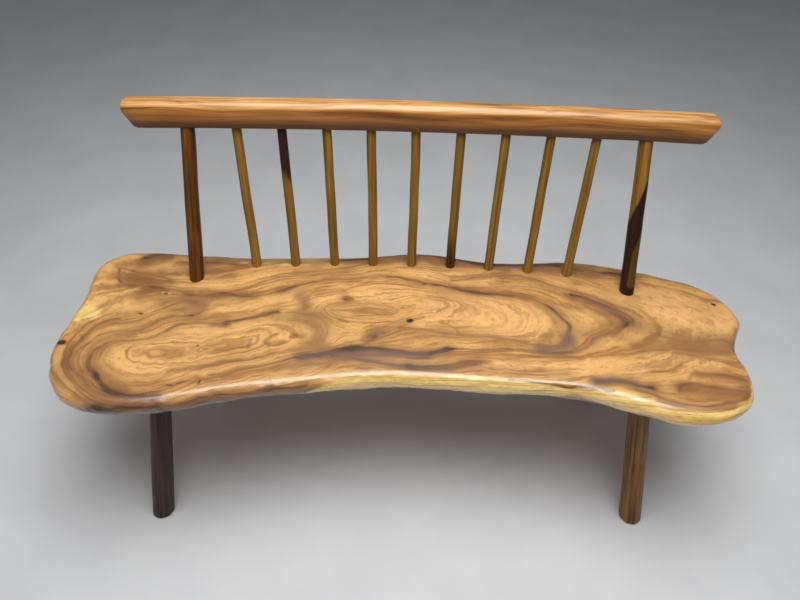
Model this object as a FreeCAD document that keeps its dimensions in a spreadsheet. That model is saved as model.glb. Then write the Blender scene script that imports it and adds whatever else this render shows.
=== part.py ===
import FreeCAD, Part
import Sketcher
import math
import os

# Log bench: one live-edge slab on four splayed legs, with a back of nine spindles
# and two end posts under a bowed crest rail. Millimetres, +Z up, +Y to the back.
# The origin is on the floor under the middle of the bench.

doc = FreeCAD.newDocument("log_bench")

# Driving sizes in millimetres, and angles in degrees

SIZES = {
    # Seat slab
    "seat_length": 1618,
    "seat_depth": 560,
    "seat_thickness": 50,
    "seat_height": 450,
    "edge_round": 24,
    "under_round": 26,
    # Crest rail: its bow, what stands past each end post, and its lean behind the spindles' feet
    "rail_height": 63,
    "rail_depth": 50,
    "rail_bow_radius": 10400,
    "rail_left_overhang": 136,
    "rail_right_overhang": 148,
    "back_lean": 84,
    "back_clear_height": 340,
    "back_offset": 8.5,
    # Spindles
    "spindle_foot_diameter": 24,
    "spindle_head_diameter": 22.5,
    "spindle_foot_spacing": 100.5,
    "spindle_head_spacing": 106,
    "spindle_foot_inset": 66,
    "spindle_foot_sweep": 22,
    "spindle_seat_depth": 28,
    "spindle_rail_depth": 32,
    "stick_lead": 5,
    # End posts
    "post_foot_diameter": 36,
    "post_head_diameter": 33,
    "post_foot_gap": 140,
    "post_head_gap": 113,
    "post_foot_inset": 148,
    "post_seat_tenon_diameter": 26,
    "post_rail_tenon_diameter": 20,
    "post_seat_depth": 29,
    "post_rail_depth": 28,
    # Legs
    "leg_top_diameter": 47,
    "leg_foot_diameter": 54,
    "leg_side_splay": 9.5,
    "leg_front_splay": 8,
    "leg_foot_bevel": 3,
    "leg_tenon_diameter": 30,
    "leg_tenon_length": 30,
    "rear_leg_inset": 72,
    # Wedges in the leg tenons, and pegs through the post tenons in the rail
    "wedge_length": 22,
    "wedge_head_thickness": 4.5,
    "wedge_tip_thickness": 1.2,
    "peg_diameter": 8,
    "peg_skin": 9,
    # Glue line round a tenon, air at the floor of a socket, and how far a cut runs past
    "glue_gap": 0.15,
    "end_gap": 1.5,
    "overrun": 20,
}

# Outline of the slab at its widest, clockwise from the back left corner: place along
# seat_length, place along seat_depth, and how broadly the top edge rolls over there

SEAT_OUTLINE_SHARES = [
    (-0.495, 0.288, 1.0), (-0.472, 0.368, 1.0), (-0.427, 0.397, 0.9), (-0.346, 0.390, 0.9),
    (-0.260, 0.381, 0.9), (-0.148, 0.398, 0.9), (-0.056, 0.423, 1.1), (0.015, 0.463, 1.5),
    (0.074, 0.439, 1.3), (0.130, 0.404, 1.0), (0.198, 0.406, 0.9), (0.266, 0.422, 0.9),
    (0.328, 0.397, 1.0), (0.414, 0.323, 1.0), (0.469, 0.239, 1.0), (0.492, 0.143, 1.0),
    (0.497, 0.027, 0.9), (0.472, -0.107, 0.7), (0.467, -0.196, 0.7), (0.470, -0.277, 0.9),
    (0.460, -0.386, 1.4), (0.427, -0.471, 1.8), (0.374, -0.502, 1.8), (0.309, -0.462, 1.3),
    (0.235, -0.395, 1.0), (0.124, -0.377, 0.9), (-0.012, -0.361, 0.9), (-0.117, -0.396, 1.0),
    (-0.247, -0.466, 1.1), (-0.328, -0.527, 1.2), (-0.389, -0.536, 1.2), (-0.441, -0.491, 1.2),
    (-0.475, -0.378, 1.1), (-0.490, -0.232, 1.0), (-0.489, -0.071, 0.8), (-0.492, 0.125, 0.9),
]
SEAT_BACK_SHARE = 0.463
TOP_ROUND_HEIGHT_SHARE = 0.45
UNDER_ROUND_HEIGHT_SHARE = 0.50
ROUND_STEPS = 6

# Middle of the front legs and line of the rear legs at the slab's underside, as shares of
# seat_length and seat_depth
FRONT_LEG_SHARES = {"left": (-0.331, -0.384), "right": (0.321, -0.339)}
REAR_LEG_DEPTH_SHARE = 0.233
LEG_SIDES = 8
LEG_FLAT_SHARE = 0.955
WEDGE_WIDTH_SHARE = 0.8

# Spindles are counted from the middle one, and sides from left to right
SPINDLE_PLACES = range(-4, 5)
LAST_SPINDLE = max(SPINDLE_PLACES)
SIDES = {"left": -1, "right": 1}

# Corner radii of the rail's section as shares of its depth. Seen from the front, each end is an arc
# that would reach below the underside: its radius and that dip are shares of the rail's height.
RAIL_SECTION_ROUND_SHARES = {"front_under": 0.16, "back_under": 0.12, "back_top": 0.28, "front_top": 0.42}
RAIL_END_ROUND_SHARE = 1.13
RAIL_END_DIP_SHARE = 0.10
PEG_HEIGHT_SHARE = 0.5

sheet = doc.addObject("Spreadsheet::Sheet", "Sizes")
for row, (size_name, number) in enumerate(SIZES.items(), start=1):
    sheet.set(f"A{row}", size_name)
    sheet.set(f"B{row}", str(number))
    sheet.setAlias(f"B{row}", size_name)
doc.recompute()

# Heights and places that several pieces share, as expressions over the sheet

UNDERSIDE = "(Sizes.seat_height - Sizes.seat_thickness)"
SEAT_TOP = "Sizes.seat_height"
RAIL_UNDERSIDE = "(Sizes.seat_height + Sizes.back_clear_height)"
SEAT_BACK = f"(Sizes.seat_depth * {SEAT_BACK_SHARE})"
RAIL_SETBACK = f"({SEAT_BACK} - Sizes.spindle_foot_inset + Sizes.back_lean)"
POST_FOOT_REACH = f"(Sizes.spindle_foot_spacing * {LAST_SPINDLE} + Sizes.post_foot_gap)"
POST_HEAD_REACH = f"(Sizes.spindle_head_spacing * {LAST_SPINDLE} + Sizes.post_head_gap)"
RAIL_SPAN = f"({POST_HEAD_REACH} + Sizes.rail_left_overhang + Sizes.rail_right_overhang)"


def rail_middle(reach):
    """How far back the middle of the bowed rail lies at a reach from its own middle."""
    bow = "Sizes.rail_bow_radius"
    return f"({RAIL_SETBACK} - {bow} + sqrt({bow}^2 - ({reach})^2))"


def number_of(expression):
    """Number that an expression over the sheet gives."""
    return float(sheet.evalExpression(expression))


def add(kind, name, **expressions):
    """A document object whose properties are bound to expressions."""
    item = doc.addObject(kind, name)
    for property_name, expression in expressions.items():
        item.setExpression(property_name.replace("_", "."), expression)
    return item


def vector(parts):
    """Expression for a vector of three expressions."""
    return "create(<<vector>>; {}; {}; {})".format(*parts)


def leaning(base, rise, own_axis=("0", "0", "1")):
    """Expression for the placement at base that turns own_axis to point along rise."""
    turn = f"create(<<rotation>>; {vector(own_axis)}; {vector(rise)})"
    return f"create(<<placement>>; {vector(base)}; {turn})"


def length_of(rise):
    """Expression for the length of a vector of expressions."""
    return "sqrt({})".format(" + ".join(f"({part})^2" for part in rise))


def along(point, rise, share):
    """Point that lies a share of the way along rise from point."""
    return tuple(f"({start}) + ({part}) * ({share})" for start, part in zip(point, rise))


def fuse(name, shapes):
    """One solid made of several."""
    item = doc.addObject("Part::MultiFuse", name)
    item.Shapes = shapes
    return item


def cut(name, base, tool):
    """The base less the tool."""
    item = doc.addObject("Part::Cut", name)
    item.Base = base
    item.Tool = tool
    return item


def common(name, base, *trims):
    """What the base shares with each trimming solid in turn."""
    for index, trim in enumerate(trims, start=1):
        step_name = name if index == len(trims) else f"{name}_trim_{index}"
        item = doc.addObject("Part::Common", step_name)
        item.Base = base
        item.Tool = trim
        base = item
    return base


def add_sketch(body, name, role):
    """A sketch on one of the body's own origin planes."""
    sketch = body.newObject("Sketcher::SketchObject", name)
    plane = next(item for item in body.Origin.OriginFeatures if item.Role == role)
    sketch.AttachmentSupport = [(plane, "")]
    sketch.MapMode = "FlatFace"
    return sketch


def draw_rounded(sketch, sides, radii):
    """Draw a rectangle with four rounded corners, bound to expressions.

    sides are its left, right, bottom and top, and radii those of its corners from the
    bottom left one anticlockwise.
    """
    left, right, bottom, top = (number_of(side) for side in sides)
    corners = [(left, bottom, 1, 1), (right, bottom, -1, 1), (right, top, -1, -1), (left, top, 1, -1)]
    quarter = math.radians(90)
    arcs = []
    for index, (x, y, inward_x, inward_y) in enumerate(corners):
        radius = number_of(radii[index])
        centre = FreeCAD.Vector(x + inward_x * radius, y + inward_y * radius, 0)
        start = quarter * (index + 2)
        circle = Part.Circle(centre, FreeCAD.Vector(0, 0, 1), radius)
        arcs.append(sketch.addGeometry(Part.ArcOfCircle(circle, start, start + quarter)))
    lines = []
    for arc, next_arc in zip(arcs, arcs[1:] + arcs[:1]):
        start_point = sketch.Geometry[arc].EndPoint
        end_point = sketch.Geometry[next_arc].StartPoint
        line = sketch.addGeometry(Part.LineSegment(start_point, end_point))
        sketch.addConstraint(Sketcher.Constraint("Tangent", arc, 2, line, 1))
        sketch.addConstraint(Sketcher.Constraint("Tangent", line, 2, next_arc, 1))
        lines.append(line)
    for line, direction in zip(lines, ("Horizontal", "Vertical", "Horizontal", "Vertical")):
        sketch.addConstraint(Sketcher.Constraint(direction, line))
    for arc, radius in zip(arcs, radii):
        index = sketch.addConstraint(Sketcher.Constraint("Radius", arc, number_of(radius)))
        sketch.setExpression(f"Constraints[{index}]", radius)
    under_line, right_line, top_line, left_line = lines
    held = [("DistanceX", left_line), ("DistanceX", right_line),
            ("DistanceY", under_line), ("DistanceY", top_line)]
    for (kind, line), side in zip(held, sides):
        index = sketch.addConstraint(Sketcher.Constraint(kind, -1, 1, line, 1, number_of(side)))
        sketch.setExpression(f"Constraints[{index}]", side)


def add_room(name, low, high):
    """A box between two heights that reaches past every stick, to trim the sticks with."""
    length = "(2 * (Sizes.seat_length + Sizes.overrun))"
    depth = "(2 * (Sizes.seat_depth + Sizes.overrun))"
    return add("Part::Box", name, Length=length, Width=depth, Height=f"{high} - {low}",
               Placement_Base_x=f"-{length} / 2", Placement_Base_y=f"-{depth} / 2",
               Placement_Base_z=low)


# The slab's blank is a loft up through the levels of its live edge

def edge_levels():
    """Height of each level over the underside, and its shares of the under and the top inset."""
    thickness = number_of("Sizes.seat_thickness")
    under_height = thickness * UNDER_ROUND_HEIGHT_SHARE
    top_height = thickness * TOP_ROUND_HEIGHT_SHARE
    turns = [math.radians(90) * step / ROUND_STEPS for step in range(ROUND_STEPS + 1)]
    under = [(under_height * (1 - math.sin(turn)), 1 - math.cos(turn), 0)
             for turn in reversed(turns)]
    over = [(thickness - top_height * (1 - math.sin(turn)), 0, 1 - math.cos(turn))
            for turn in turns]
    return under + over


def seat_section(height, under_share, top_share):
    """Closed smooth outline of the slab at a height over its underside."""
    length = number_of("Sizes.seat_length")
    depth = number_of("Sizes.seat_depth")
    under_inset = under_share * number_of("Sizes.under_round")
    top_inset = top_share * number_of("Sizes.edge_round")
    points = [FreeCAD.Vector(x * length, y * depth, height) for x, y, _ in SEAT_OUTLINE_SHARES]
    section = []
    for index, (_, _, edge_share) in enumerate(SEAT_OUTLINE_SHARES):
        chord = points[(index + 1) % len(points)] - points[index - 1]
        inward = FreeCAD.Vector(chord.y, -chord.x, 0).normalize()
        section.append(points[index] + inward * (under_inset + top_inset * edge_share))
    curve = Part.BSplineCurve()
    curve.interpolate(Points=section, PeriodicFlag=True)
    return Part.Wire([curve.toShape()])


seat_blank = doc.addObject("Part::Feature", "seat_blank")
seat_blank.Shape = Part.makeLoft([seat_section(*level) for level in edge_levels()], True, False)
seat_blank.setExpression("Placement.Base.z", UNDERSIDE)

# The rail's blank is its section turned about the centre of its bow, trimmed to its front view

rail_bar = add("PartDesign::Body", "rail_bar", Placement_Base_x="Sizes.back_offset",
               Placement_Base_y=f"{RAIL_SETBACK} - Sizes.rail_bow_radius",
               Placement_Base_z=RAIL_UNDERSIDE)
rail_section = add_sketch(rail_bar, "rail_section", "YZ_Plane")
draw_rounded(rail_section,
             ("Sizes.rail_bow_radius - Sizes.rail_depth / 2",
              "Sizes.rail_bow_radius + Sizes.rail_depth / 2", "0", "Sizes.rail_height"),
             [f"Sizes.rail_depth * {share}" for share in RAIL_SECTION_ROUND_SHARES.values()])
rail_turn = rail_bar.newObject("PartDesign::Revolution", "rail_turn")
rail_turn.Profile = rail_section
rail_turn.ReferenceAxis = (rail_section, ["V_Axis"])
rail_turn.Midplane = True
rail_turn.setExpression("Angle", f"2 * asin({RAIL_SPAN} / Sizes.rail_bow_radius)")

rail_front = add("PartDesign::Body", "rail_front", Placement_Base_x="Sizes.back_offset",
                 Placement_Base_y=RAIL_SETBACK, Placement_Base_z=RAIL_UNDERSIDE)
rail_view = add_sketch(rail_front, "rail_view", "XZ_Plane")
rail_end_round = f"Sizes.rail_height * {RAIL_END_ROUND_SHARE}"
draw_rounded(rail_view,
             (f"-({POST_HEAD_REACH} + Sizes.rail_left_overhang)",
              f"{POST_HEAD_REACH} + Sizes.rail_right_overhang",
              f"-Sizes.rail_height * {RAIL_END_DIP_SHARE}", "Sizes.rail_height + Sizes.overrun"),
             [rail_end_round, rail_end_round, "Sizes.overrun / 2", "Sizes.overrun / 2"])
rail_pad = rail_front.newObject("PartDesign::Pad", "rail_pad")
rail_pad.Profile = rail_view
rail_pad.Midplane = True
rail_pad.setExpression(
    "Length", f"2 * (Sizes.rail_depth + {RAIL_SETBACK} - {rail_middle(RAIL_SPAN)})")
rail_blank = common("rail_blank", rail_bar, rail_front)

leg_room = add_room("leg_room", "0", UNDERSIDE)
post_room = add_room("post_room", SEAT_TOP, RAIL_UNDERSIDE)

seat_tools = []
rail_tools = []
node_names = []

# Legs: a tapered octagon with soft corners, a tenon with a kerf, and a wedge in the kerf


def add_taper(name, width, base, rise):
    """A wedge solid that thickens along rise to its head, of the given width."""
    half_tip = "Sizes.wedge_tip_thickness / 2"
    half_head = "Sizes.wedge_head_thickness / 2"
    half_width = f"({width}) / 2"
    return add("Part::Wedge", name, Ymin="0", Ymax="Sizes.wedge_length",
               Xmin=f"-{half_tip}", Xmax=half_tip, X2min=f"-{half_head}", X2max=half_head,
               Zmin=f"-{half_width}", Zmax=half_width, Z2min=f"-{half_width}", Z2max=half_width,
               Placement=leaning(base, rise, ("0", "1", "0")))


def add_leg(place, top_x, top_y, side, front):
    """A leg that splays to its side and to the front or back, with its wedge."""
    top = (top_x, top_y, UNDERSIDE)
    rise = (f"{-side} * {UNDERSIDE} * tan(Sizes.leg_side_splay * 1deg)",
            f"{front} * {UNDERSIDE} * tan(Sizes.leg_front_splay * 1deg)", UNDERSIDE)
    foot = along(top, rise, "-1")
    spare = f"(Sizes.overrun / {UNDERSIDE})"
    low_end = along(top, rise, f"-1 - {spare}")
    high_end = along(top, rise, spare)
    reach = f"{length_of(rise)} * (1 + 2 * {spare})"
    flat = f"{LEG_FLAT_SHARE} / cos(180deg / {LEG_SIDES})"
    octagons = []
    for end_name, diameter, end in (("foot", "Sizes.leg_foot_diameter", low_end),
                                    ("top", "Sizes.leg_top_diameter", high_end)):
        octagon = add("Part::RegularPolygon", f"leg_{place}_{end_name}_octagon",
                      Circumradius=f"{diameter} / 2 * {flat}", Placement=leaning(end, rise))
        octagon.Polygon = LEG_SIDES
        octagons.append(octagon)
    flats = doc.addObject("Part::Loft", f"leg_{place}_flats")
    flats.Sections = octagons
    flats.Solid = True
    flats.Ruled = True
    taper = add("Part::Cone", f"leg_{place}_taper", Radius1="Sizes.leg_foot_diameter / 2",
                Radius2="Sizes.leg_top_diameter / 2", Height=reach, Placement=leaning(low_end, rise))
    bevel = add("Part::Cone", f"leg_{place}_bevel",
                Radius1="Sizes.leg_foot_diameter / 2 - Sizes.leg_foot_bevel",
                Radius2=f"Sizes.leg_foot_diameter / 2 - Sizes.leg_foot_bevel + {UNDERSIDE}",
                Height=UNDERSIDE, Placement_Base_x=foot[0], Placement_Base_y=foot[1])
    shaft = common(f"leg_{place}_shaft", flats, taper, bevel, leg_room)

    inside = along(top, rise, f"-Sizes.overrun / {length_of(rise)}")
    tenon = add("Part::Cylinder", f"leg_{place}_tenon", Radius="Sizes.leg_tenon_diameter / 2",
                Height="Sizes.overrun + Sizes.leg_tenon_length", Placement=leaning(inside, rise))
    socket = add("Part::Cylinder", f"leg_{place}_socket",
                 Radius="Sizes.leg_tenon_diameter / 2 + Sizes.glue_gap",
                 Height="Sizes.overrun + Sizes.leg_tenon_length + Sizes.end_gap",
                 Placement=leaning(inside, rise))
    wedge_run = "(Sizes.leg_tenon_length + Sizes.end_gap - Sizes.wedge_length)"
    wedge_base = along(top, rise, f"{wedge_run} / {length_of(rise)}")
    wedge_width = f"Sizes.leg_tenon_diameter * {WEDGE_WIDTH_SHARE}"
    add_taper(f"leg_wedge_{place}", wedge_width, wedge_base, rise)
    kerf = add_taper(f"leg_{place}_kerf", "2 * Sizes.leg_tenon_diameter", wedge_base, rise)
    cut(f"leg_{place}", fuse(f"leg_{place}_blank", [shaft, tenon]), kerf)
    seat_tools.append(socket)
    node_names.extend([f"leg_{place}", f"leg_wedge_{place}"])


for side_name, side in SIDES.items():
    front_x, front_y = FRONT_LEG_SHARES[side_name]
    add_leg(f"front_{side_name}", f"Sizes.seat_length * {front_x}", f"Sizes.seat_depth * {front_y}",
            side, 1)
    add_leg(f"rear_{side_name}",
            f"Sizes.back_offset + {side} * ({POST_FOOT_REACH} - Sizes.rear_leg_inset)",
            f"Sizes.seat_depth * {REAR_LEG_DEPTH_SHARE}", side, -1)

# Spindles: plain tapers glued into blind sockets at both ends

for place in SPINDLE_PLACES:
    spindle_name = f"spindle_{place - min(SPINDLE_PLACES) + 1}"
    sweep_share = (place / LAST_SPINDLE) ** 2
    foot = (f"Sizes.back_offset + Sizes.spindle_foot_spacing * {place}",
            f"{SEAT_BACK} - Sizes.spindle_foot_inset - Sizes.spindle_foot_sweep * {sweep_share}",
            SEAT_TOP)
    head_reach = f"Sizes.spindle_head_spacing * {place}"
    rise = (f"({head_reach} - Sizes.spindle_foot_spacing * {place})",
            f"({rail_middle(head_reach)} - Sizes.stick_lead - ({foot[1]}))",
            "Sizes.back_clear_height")
    base = along(foot, rise, "-Sizes.spindle_seat_depth / Sizes.back_clear_height")
    sunk = "(Sizes.spindle_seat_depth + Sizes.spindle_rail_depth)"
    reach = f"{length_of(rise)} * (1 + {sunk} / Sizes.back_clear_height)"
    add("Part::Cone", spindle_name, Radius1="Sizes.spindle_foot_diameter / 2",
        Radius2="Sizes.spindle_head_diameter / 2", Height=reach, Placement=leaning(base, rise))
    socket = add("Part::Cone", f"{spindle_name}_socket",
                 Radius1="Sizes.spindle_foot_diameter / 2 + Sizes.glue_gap",
                 Radius2="Sizes.spindle_head_diameter / 2 + Sizes.glue_gap",
                 Height=f"{reach} + Sizes.end_gap", Placement=leaning(base, rise))
    seat_tools.append(socket)
    rail_tools.append(socket)
    node_names.append(spindle_name)

# End posts: shouldered tapers with a turned tenon at each end, pegged into the rail


def add_tenon(name, diameter, depth, end, outward, extra_radius, extra_depth):
    """A round tenon or its socket, from inside the post out past its end."""
    inside = along(end, outward, "-Sizes.overrun / Sizes.back_clear_height")
    depth_share = f"(({depth} + {extra_depth} + Sizes.overrun) / Sizes.back_clear_height)"
    return add("Part::Cylinder", name, Radius=f"{diameter} / 2 + {extra_radius}",
               Height=f"{length_of(outward)} * {depth_share}", Placement=leaning(inside, outward))


for side_name, side in SIDES.items():
    foot = (f"Sizes.back_offset + {side} * {POST_FOOT_REACH}", f"{SEAT_BACK} - Sizes.post_foot_inset",
            SEAT_TOP)
    rise = (f"{side} * ({POST_HEAD_REACH} - {POST_FOOT_REACH})",
            f"({rail_middle(POST_HEAD_REACH)} - Sizes.stick_lead - ({foot[1]}))",
            "Sizes.back_clear_height")
    fall = tuple(f"-({part})" for part in rise)
    head = along(foot, rise, "1")
    spare = "(Sizes.overrun / Sizes.back_clear_height)"
    low_end = along(foot, rise, f"-{spare}")
    taper = add("Part::Cone", f"post_{side_name}_taper", Radius1="Sizes.post_foot_diameter / 2",
                Radius2="Sizes.post_head_diameter / 2",
                Height=f"{length_of(rise)} * (1 + 2 * {spare})", Placement=leaning(low_end, rise))
    shaft = common(f"post_{side_name}_shaft", taper, post_room)
    tenons = []
    for joint, end, outward in (("seat", foot, fall), ("rail", head, rise)):
        diameter = f"Sizes.post_{joint}_tenon_diameter"
        depth = f"Sizes.post_{joint}_depth"
        tenons.append(add_tenon(f"post_{side_name}_{joint}_tenon", diameter, depth, end, outward,
                                "0", "0"))
        socket = add_tenon(f"post_{side_name}_{joint}_socket", diameter, depth, end, outward,
                           "Sizes.glue_gap", "Sizes.end_gap")
        (seat_tools if joint == "seat" else rail_tools).append(socket)

    peg_place = along(head, rise, f"{PEG_HEIGHT_SHARE} * Sizes.post_rail_depth / Sizes.back_clear_height")
    rail_back = f"{rail_middle(POST_HEAD_REACH)} + Sizes.rail_depth / 2"
    peg_base = (peg_place[0], f"{rail_back} + Sizes.overrun", peg_place[2])
    peg_length = "Sizes.overrun + Sizes.rail_depth - Sizes.peg_skin"
    forward = ("0", "-1", "0")
    peg_rod = add("Part::Cylinder", f"rail_peg_{side_name}_rod", Radius="Sizes.peg_diameter / 2",
                  Height=peg_length, Placement=leaning(peg_base, forward))
    peg_hole = add("Part::Cylinder", f"rail_peg_{side_name}_hole",
                   Radius="Sizes.peg_diameter / 2 + Sizes.glue_gap",
                   Height=f"{peg_length} + Sizes.end_gap", Placement=leaning(peg_base, forward))
    common(f"rail_peg_{side_name}", peg_rod, rail_blank)
    cut(f"post_{side_name}", fuse(f"post_{side_name}_blank", [shaft] + tenons), peg_hole)
    rail_tools.append(peg_hole)
    node_names.extend([f"post_{side_name}", f"rail_peg_{side_name}"])

# The slab and the rail with all their sockets

cut("seat_slab", seat_blank, fuse("seat_sockets", seat_tools))
cut("crest_rail", rail_blank, fuse("rail_sockets", rail_tools))
node_names.extend(["seat_slab", "crest_rail"])

doc.recompute()

for item in doc.Objects:
    if {"Invalid", "Error"} & set(item.State):
        raise RuntimeError(f"{item.Label} failed: {item.State}")
nodes = [doc.getObject(name) for name in sorted(node_names)]
for node in nodes:
    if node.Shape.isNull() or not node.Shape.isValid() or len(node.Shape.Solids) != 1:
        raise RuntimeError(f"{node.Label} isn't one valid solid")
for whole, bored in (("seat_blank", "seat_slab"), ("rail_blank", "crest_rail")):
    if not doc.getObject(bored).Shape.Volume < doc.getObject(whole).Shape.Volume:
        raise RuntimeError(f"{bored} has lost no wood to its sockets")

os.makedirs("parts", exist_ok=True)
for node in nodes:
    node.Shape.exportStep(f"parts/{node.Label}.step")
    box = node.Shape.optimalBoundingBox()
    print(f"{node.Label}: {node.Shape.Volume / 1000:.1f} cm3,",
          f"x {box.XMin:.1f} to {box.XMax:.1f}, y {box.YMin:.1f} to {box.YMax:.1f},",
          f"z {box.ZMin:.1f} to {box.ZMax:.1f}")
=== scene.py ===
"""Live-edge log bench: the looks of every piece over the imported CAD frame."""

from __future__ import annotations

import logging
import math
from contextlib import contextmanager
from dataclasses import dataclass, field, replace
from enum import Enum
from typing import Callable, Iterator

import bpy
import numpy as np
from mathutils import Matrix, Vector

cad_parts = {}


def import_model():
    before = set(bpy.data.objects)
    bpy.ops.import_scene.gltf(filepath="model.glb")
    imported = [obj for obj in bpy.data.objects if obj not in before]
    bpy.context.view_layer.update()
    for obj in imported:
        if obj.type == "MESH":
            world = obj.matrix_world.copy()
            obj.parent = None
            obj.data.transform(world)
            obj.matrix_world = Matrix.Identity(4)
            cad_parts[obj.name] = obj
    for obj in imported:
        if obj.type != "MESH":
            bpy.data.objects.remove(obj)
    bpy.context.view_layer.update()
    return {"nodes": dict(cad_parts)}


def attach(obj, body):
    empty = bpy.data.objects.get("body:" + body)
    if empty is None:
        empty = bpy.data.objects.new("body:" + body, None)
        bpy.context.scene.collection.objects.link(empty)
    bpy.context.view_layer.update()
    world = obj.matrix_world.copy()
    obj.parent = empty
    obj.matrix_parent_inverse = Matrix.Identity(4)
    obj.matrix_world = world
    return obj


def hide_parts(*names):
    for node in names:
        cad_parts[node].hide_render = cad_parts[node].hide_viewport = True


log = logging.getLogger("bench")

MM = 0.001
BODY = "root"
TURN = 2 * math.pi

Point = tuple[float, float]
Place = tuple[float, float, float]
Wave = tuple[float, float, int]
Stain = Callable[[np.ndarray], np.ndarray]
Source = bpy.types.Node | bpy.types.NodeSocket


# --------------------------------------------------------------------------
# Small tools
# --------------------------------------------------------------------------


def linear(code: str) -> tuple[float, float, float, float]:
    """Turn an sRGB hex colour, "#rrggbb", into linear light with alpha."""
    parts = [int(code[i : i + 2], 16) / 255 for i in (1, 3, 5)]
    light = [p / 12.92 if p <= 0.04045 else ((p + 0.055) / 1.055) ** 2.4 for p in parts]
    return (light[0], light[1], light[2], 1.0)


def smooth_step(low: float, high: float, value: np.ndarray) -> np.ndarray:
    """Ease from 0 at low to 1 at high."""
    share = np.clip((value - low) / (high - low), 0.0, 1.0)
    return share * share * (3 - 2 * share)


def ripple(points: np.ndarray, wavelength: float, seed: int, waves: int = 9) -> np.ndarray:
    """Give a smooth random value at each point, the same on each run.

    Args:
        points: Places as rows, in the same unit as the wavelength.
        wavelength: Typical distance from one crest to the next.
        seed: Which pattern to give.
        waves: How many waves are added up.

    Returns:
        One value a point, mostly between -1 and 1.
    """
    dice = np.random.default_rng(seed)
    total = np.zeros(len(points))
    for _ in range(waves):
        heading = dice.normal(size=points.shape[1])
        heading /= np.linalg.norm(heading)
        length = wavelength * dice.uniform(0.6, 1.7)
        phase = dice.uniform(0, TURN)
        total += np.sin(points @ heading * (TURN / length) + phase)
    return total / math.sqrt(waves)


def ripples(points: np.ndarray, waves: tuple[Wave, ...], shift: int = 0) -> np.ndarray:
    """Add up ripples, each given as its height, wavelength and seed.

    Args:
        points: Places as rows, in the same unit as the wavelengths.
        waves: The ripples.
        shift: What is added to every seed.

    Returns:
        One value a point.
    """
    parts = [height * ripple(points, length, seed + shift) for height, length, seed in waves]
    return np.sum(parts, axis=0)


def bends(points: np.ndarray, spans: np.ndarray, closed: bool) -> np.ndarray:
    """Work out how a smooth curve through points bends at each of them.

    Args:
        points: Rows to draw the curve through.
        spans: The distance from each point to the next.
        closed: Whether the last point joins the first.

    Returns:
        The curve's second derivative at each point.
    """
    count = len(points)
    system, pull = np.eye(count), np.zeros_like(points)
    for i in range(count):
        if not closed and i in (0, count - 1):
            continue
        before, after = spans[i - 1], spans[i]
        last, following = (i - 1) % count, (i + 1) % count
        system[i, last], system[i, following] = before, after
        system[i, i] = 2 * (before + after)
        rise = (points[following] - points[i]) / after
        fall = (points[i] - points[last]) / before
        pull[i] = 6 * (rise - fall)
    return np.linalg.solve(system, pull)


def through(points: np.ndarray, closed: bool, step: float) -> np.ndarray:
    """Draw a smooth curve through points and walk along it.

    Args:
        points: Rows whose first two columns are the place; further columns ride along.
        closed: Whether the last point joins the first.
        step: Distance between the places that come back.

    Returns:
        Rows along the curve, with the same columns.
    """
    knots = np.asarray(points, float)
    ring = np.vstack([knots, knots[:1]]) if closed else knots
    spans = np.hypot(*np.diff(ring[:, :2], axis=0).T)
    bend = bends(knots, spans, closed)
    bend = np.vstack([bend, bend[:1]]) if closed else bend
    rows: list[np.ndarray] = []
    for i, span in enumerate(spans):
        count = max(1, round(float(span) / step))
        far = (np.arange(count) / count)[:, None]
        near = 1 - far
        sag = (near**3 - near) * bend[i] + (far**3 - far) * bend[i + 1]
        rows.append(near * ring[i] + far * ring[i + 1] + sag * span**2 / 6)
    if not closed:
        rows.append(knots[-1:])
    return np.vstack(rows)


def even(curve: np.ndarray, count: int) -> np.ndarray:
    """Spread count rows evenly along a closed curve, given as rows, place first."""
    ring = np.vstack([curve, curve[:1]])
    reach = np.concatenate([[0.0], np.cumsum(np.hypot(*np.diff(ring[:, :2], axis=0).T))])
    wanted = np.linspace(0.0, reach[-1], count, endpoint=False)
    return np.column_stack([np.interp(wanted, reach, ring[:, k]) for k in range(ring.shape[1])])


def nothing_selected() -> None:
    bpy.ops.object.select_all(action="DESELECT")


def only(piece: bpy.types.Object) -> None:
    """Select one piece alone and make it the active one."""
    nothing_selected()
    piece.select_set(True)
    bpy.context.view_layer.objects.active = piece


@contextmanager
def edit_mode(piece: bpy.types.Object, kind: str) -> Iterator[None]:
    """Open a piece for editing its "VERT", "EDGE" or "FACE", and close it again."""
    only(piece)
    bpy.ops.object.mode_set(mode="EDIT")
    bpy.ops.mesh.select_mode(type=kind)
    yield
    bpy.ops.object.mode_set(mode="OBJECT")


def pick(piece: bpy.types.Object, kind: str, chosen: np.ndarray) -> None:
    """Select edges or faces of a piece in code.

    Args:
        piece: The mesh object.
        kind: "EDGE" or "FACE".
        chosen: One truth value for each edge or face.
    """
    with edit_mode(piece, kind):
        bpy.ops.mesh.select_all(action="DESELECT")
    parts = piece.data.edges if kind == "EDGE" else piece.data.polygons
    parts.foreach_set("select", chosen.astype(bool))


def rows_of(items: bpy.types.bpy_prop_collection, name: str) -> np.ndarray:
    """Read one vector of every vertex or face, such as its "normal", as rows."""
    values = np.empty(len(items) * 3, np.float32)
    items.foreach_get(name, values)
    return values.reshape(-1, 3)


def corners_of(piece: bpy.types.Object) -> np.ndarray:
    """Give the places of a piece's vertices as rows, in metres."""
    return rows_of(piece.data.vertices, "co").astype(float)


def set_corners(piece: bpy.types.Object, places: np.ndarray) -> None:
    """Move a piece's vertices to new places, in metres."""
    piece.data.vertices.foreach_set("co", places.astype(np.float32).ravel())
    piece.data.update()


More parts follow.
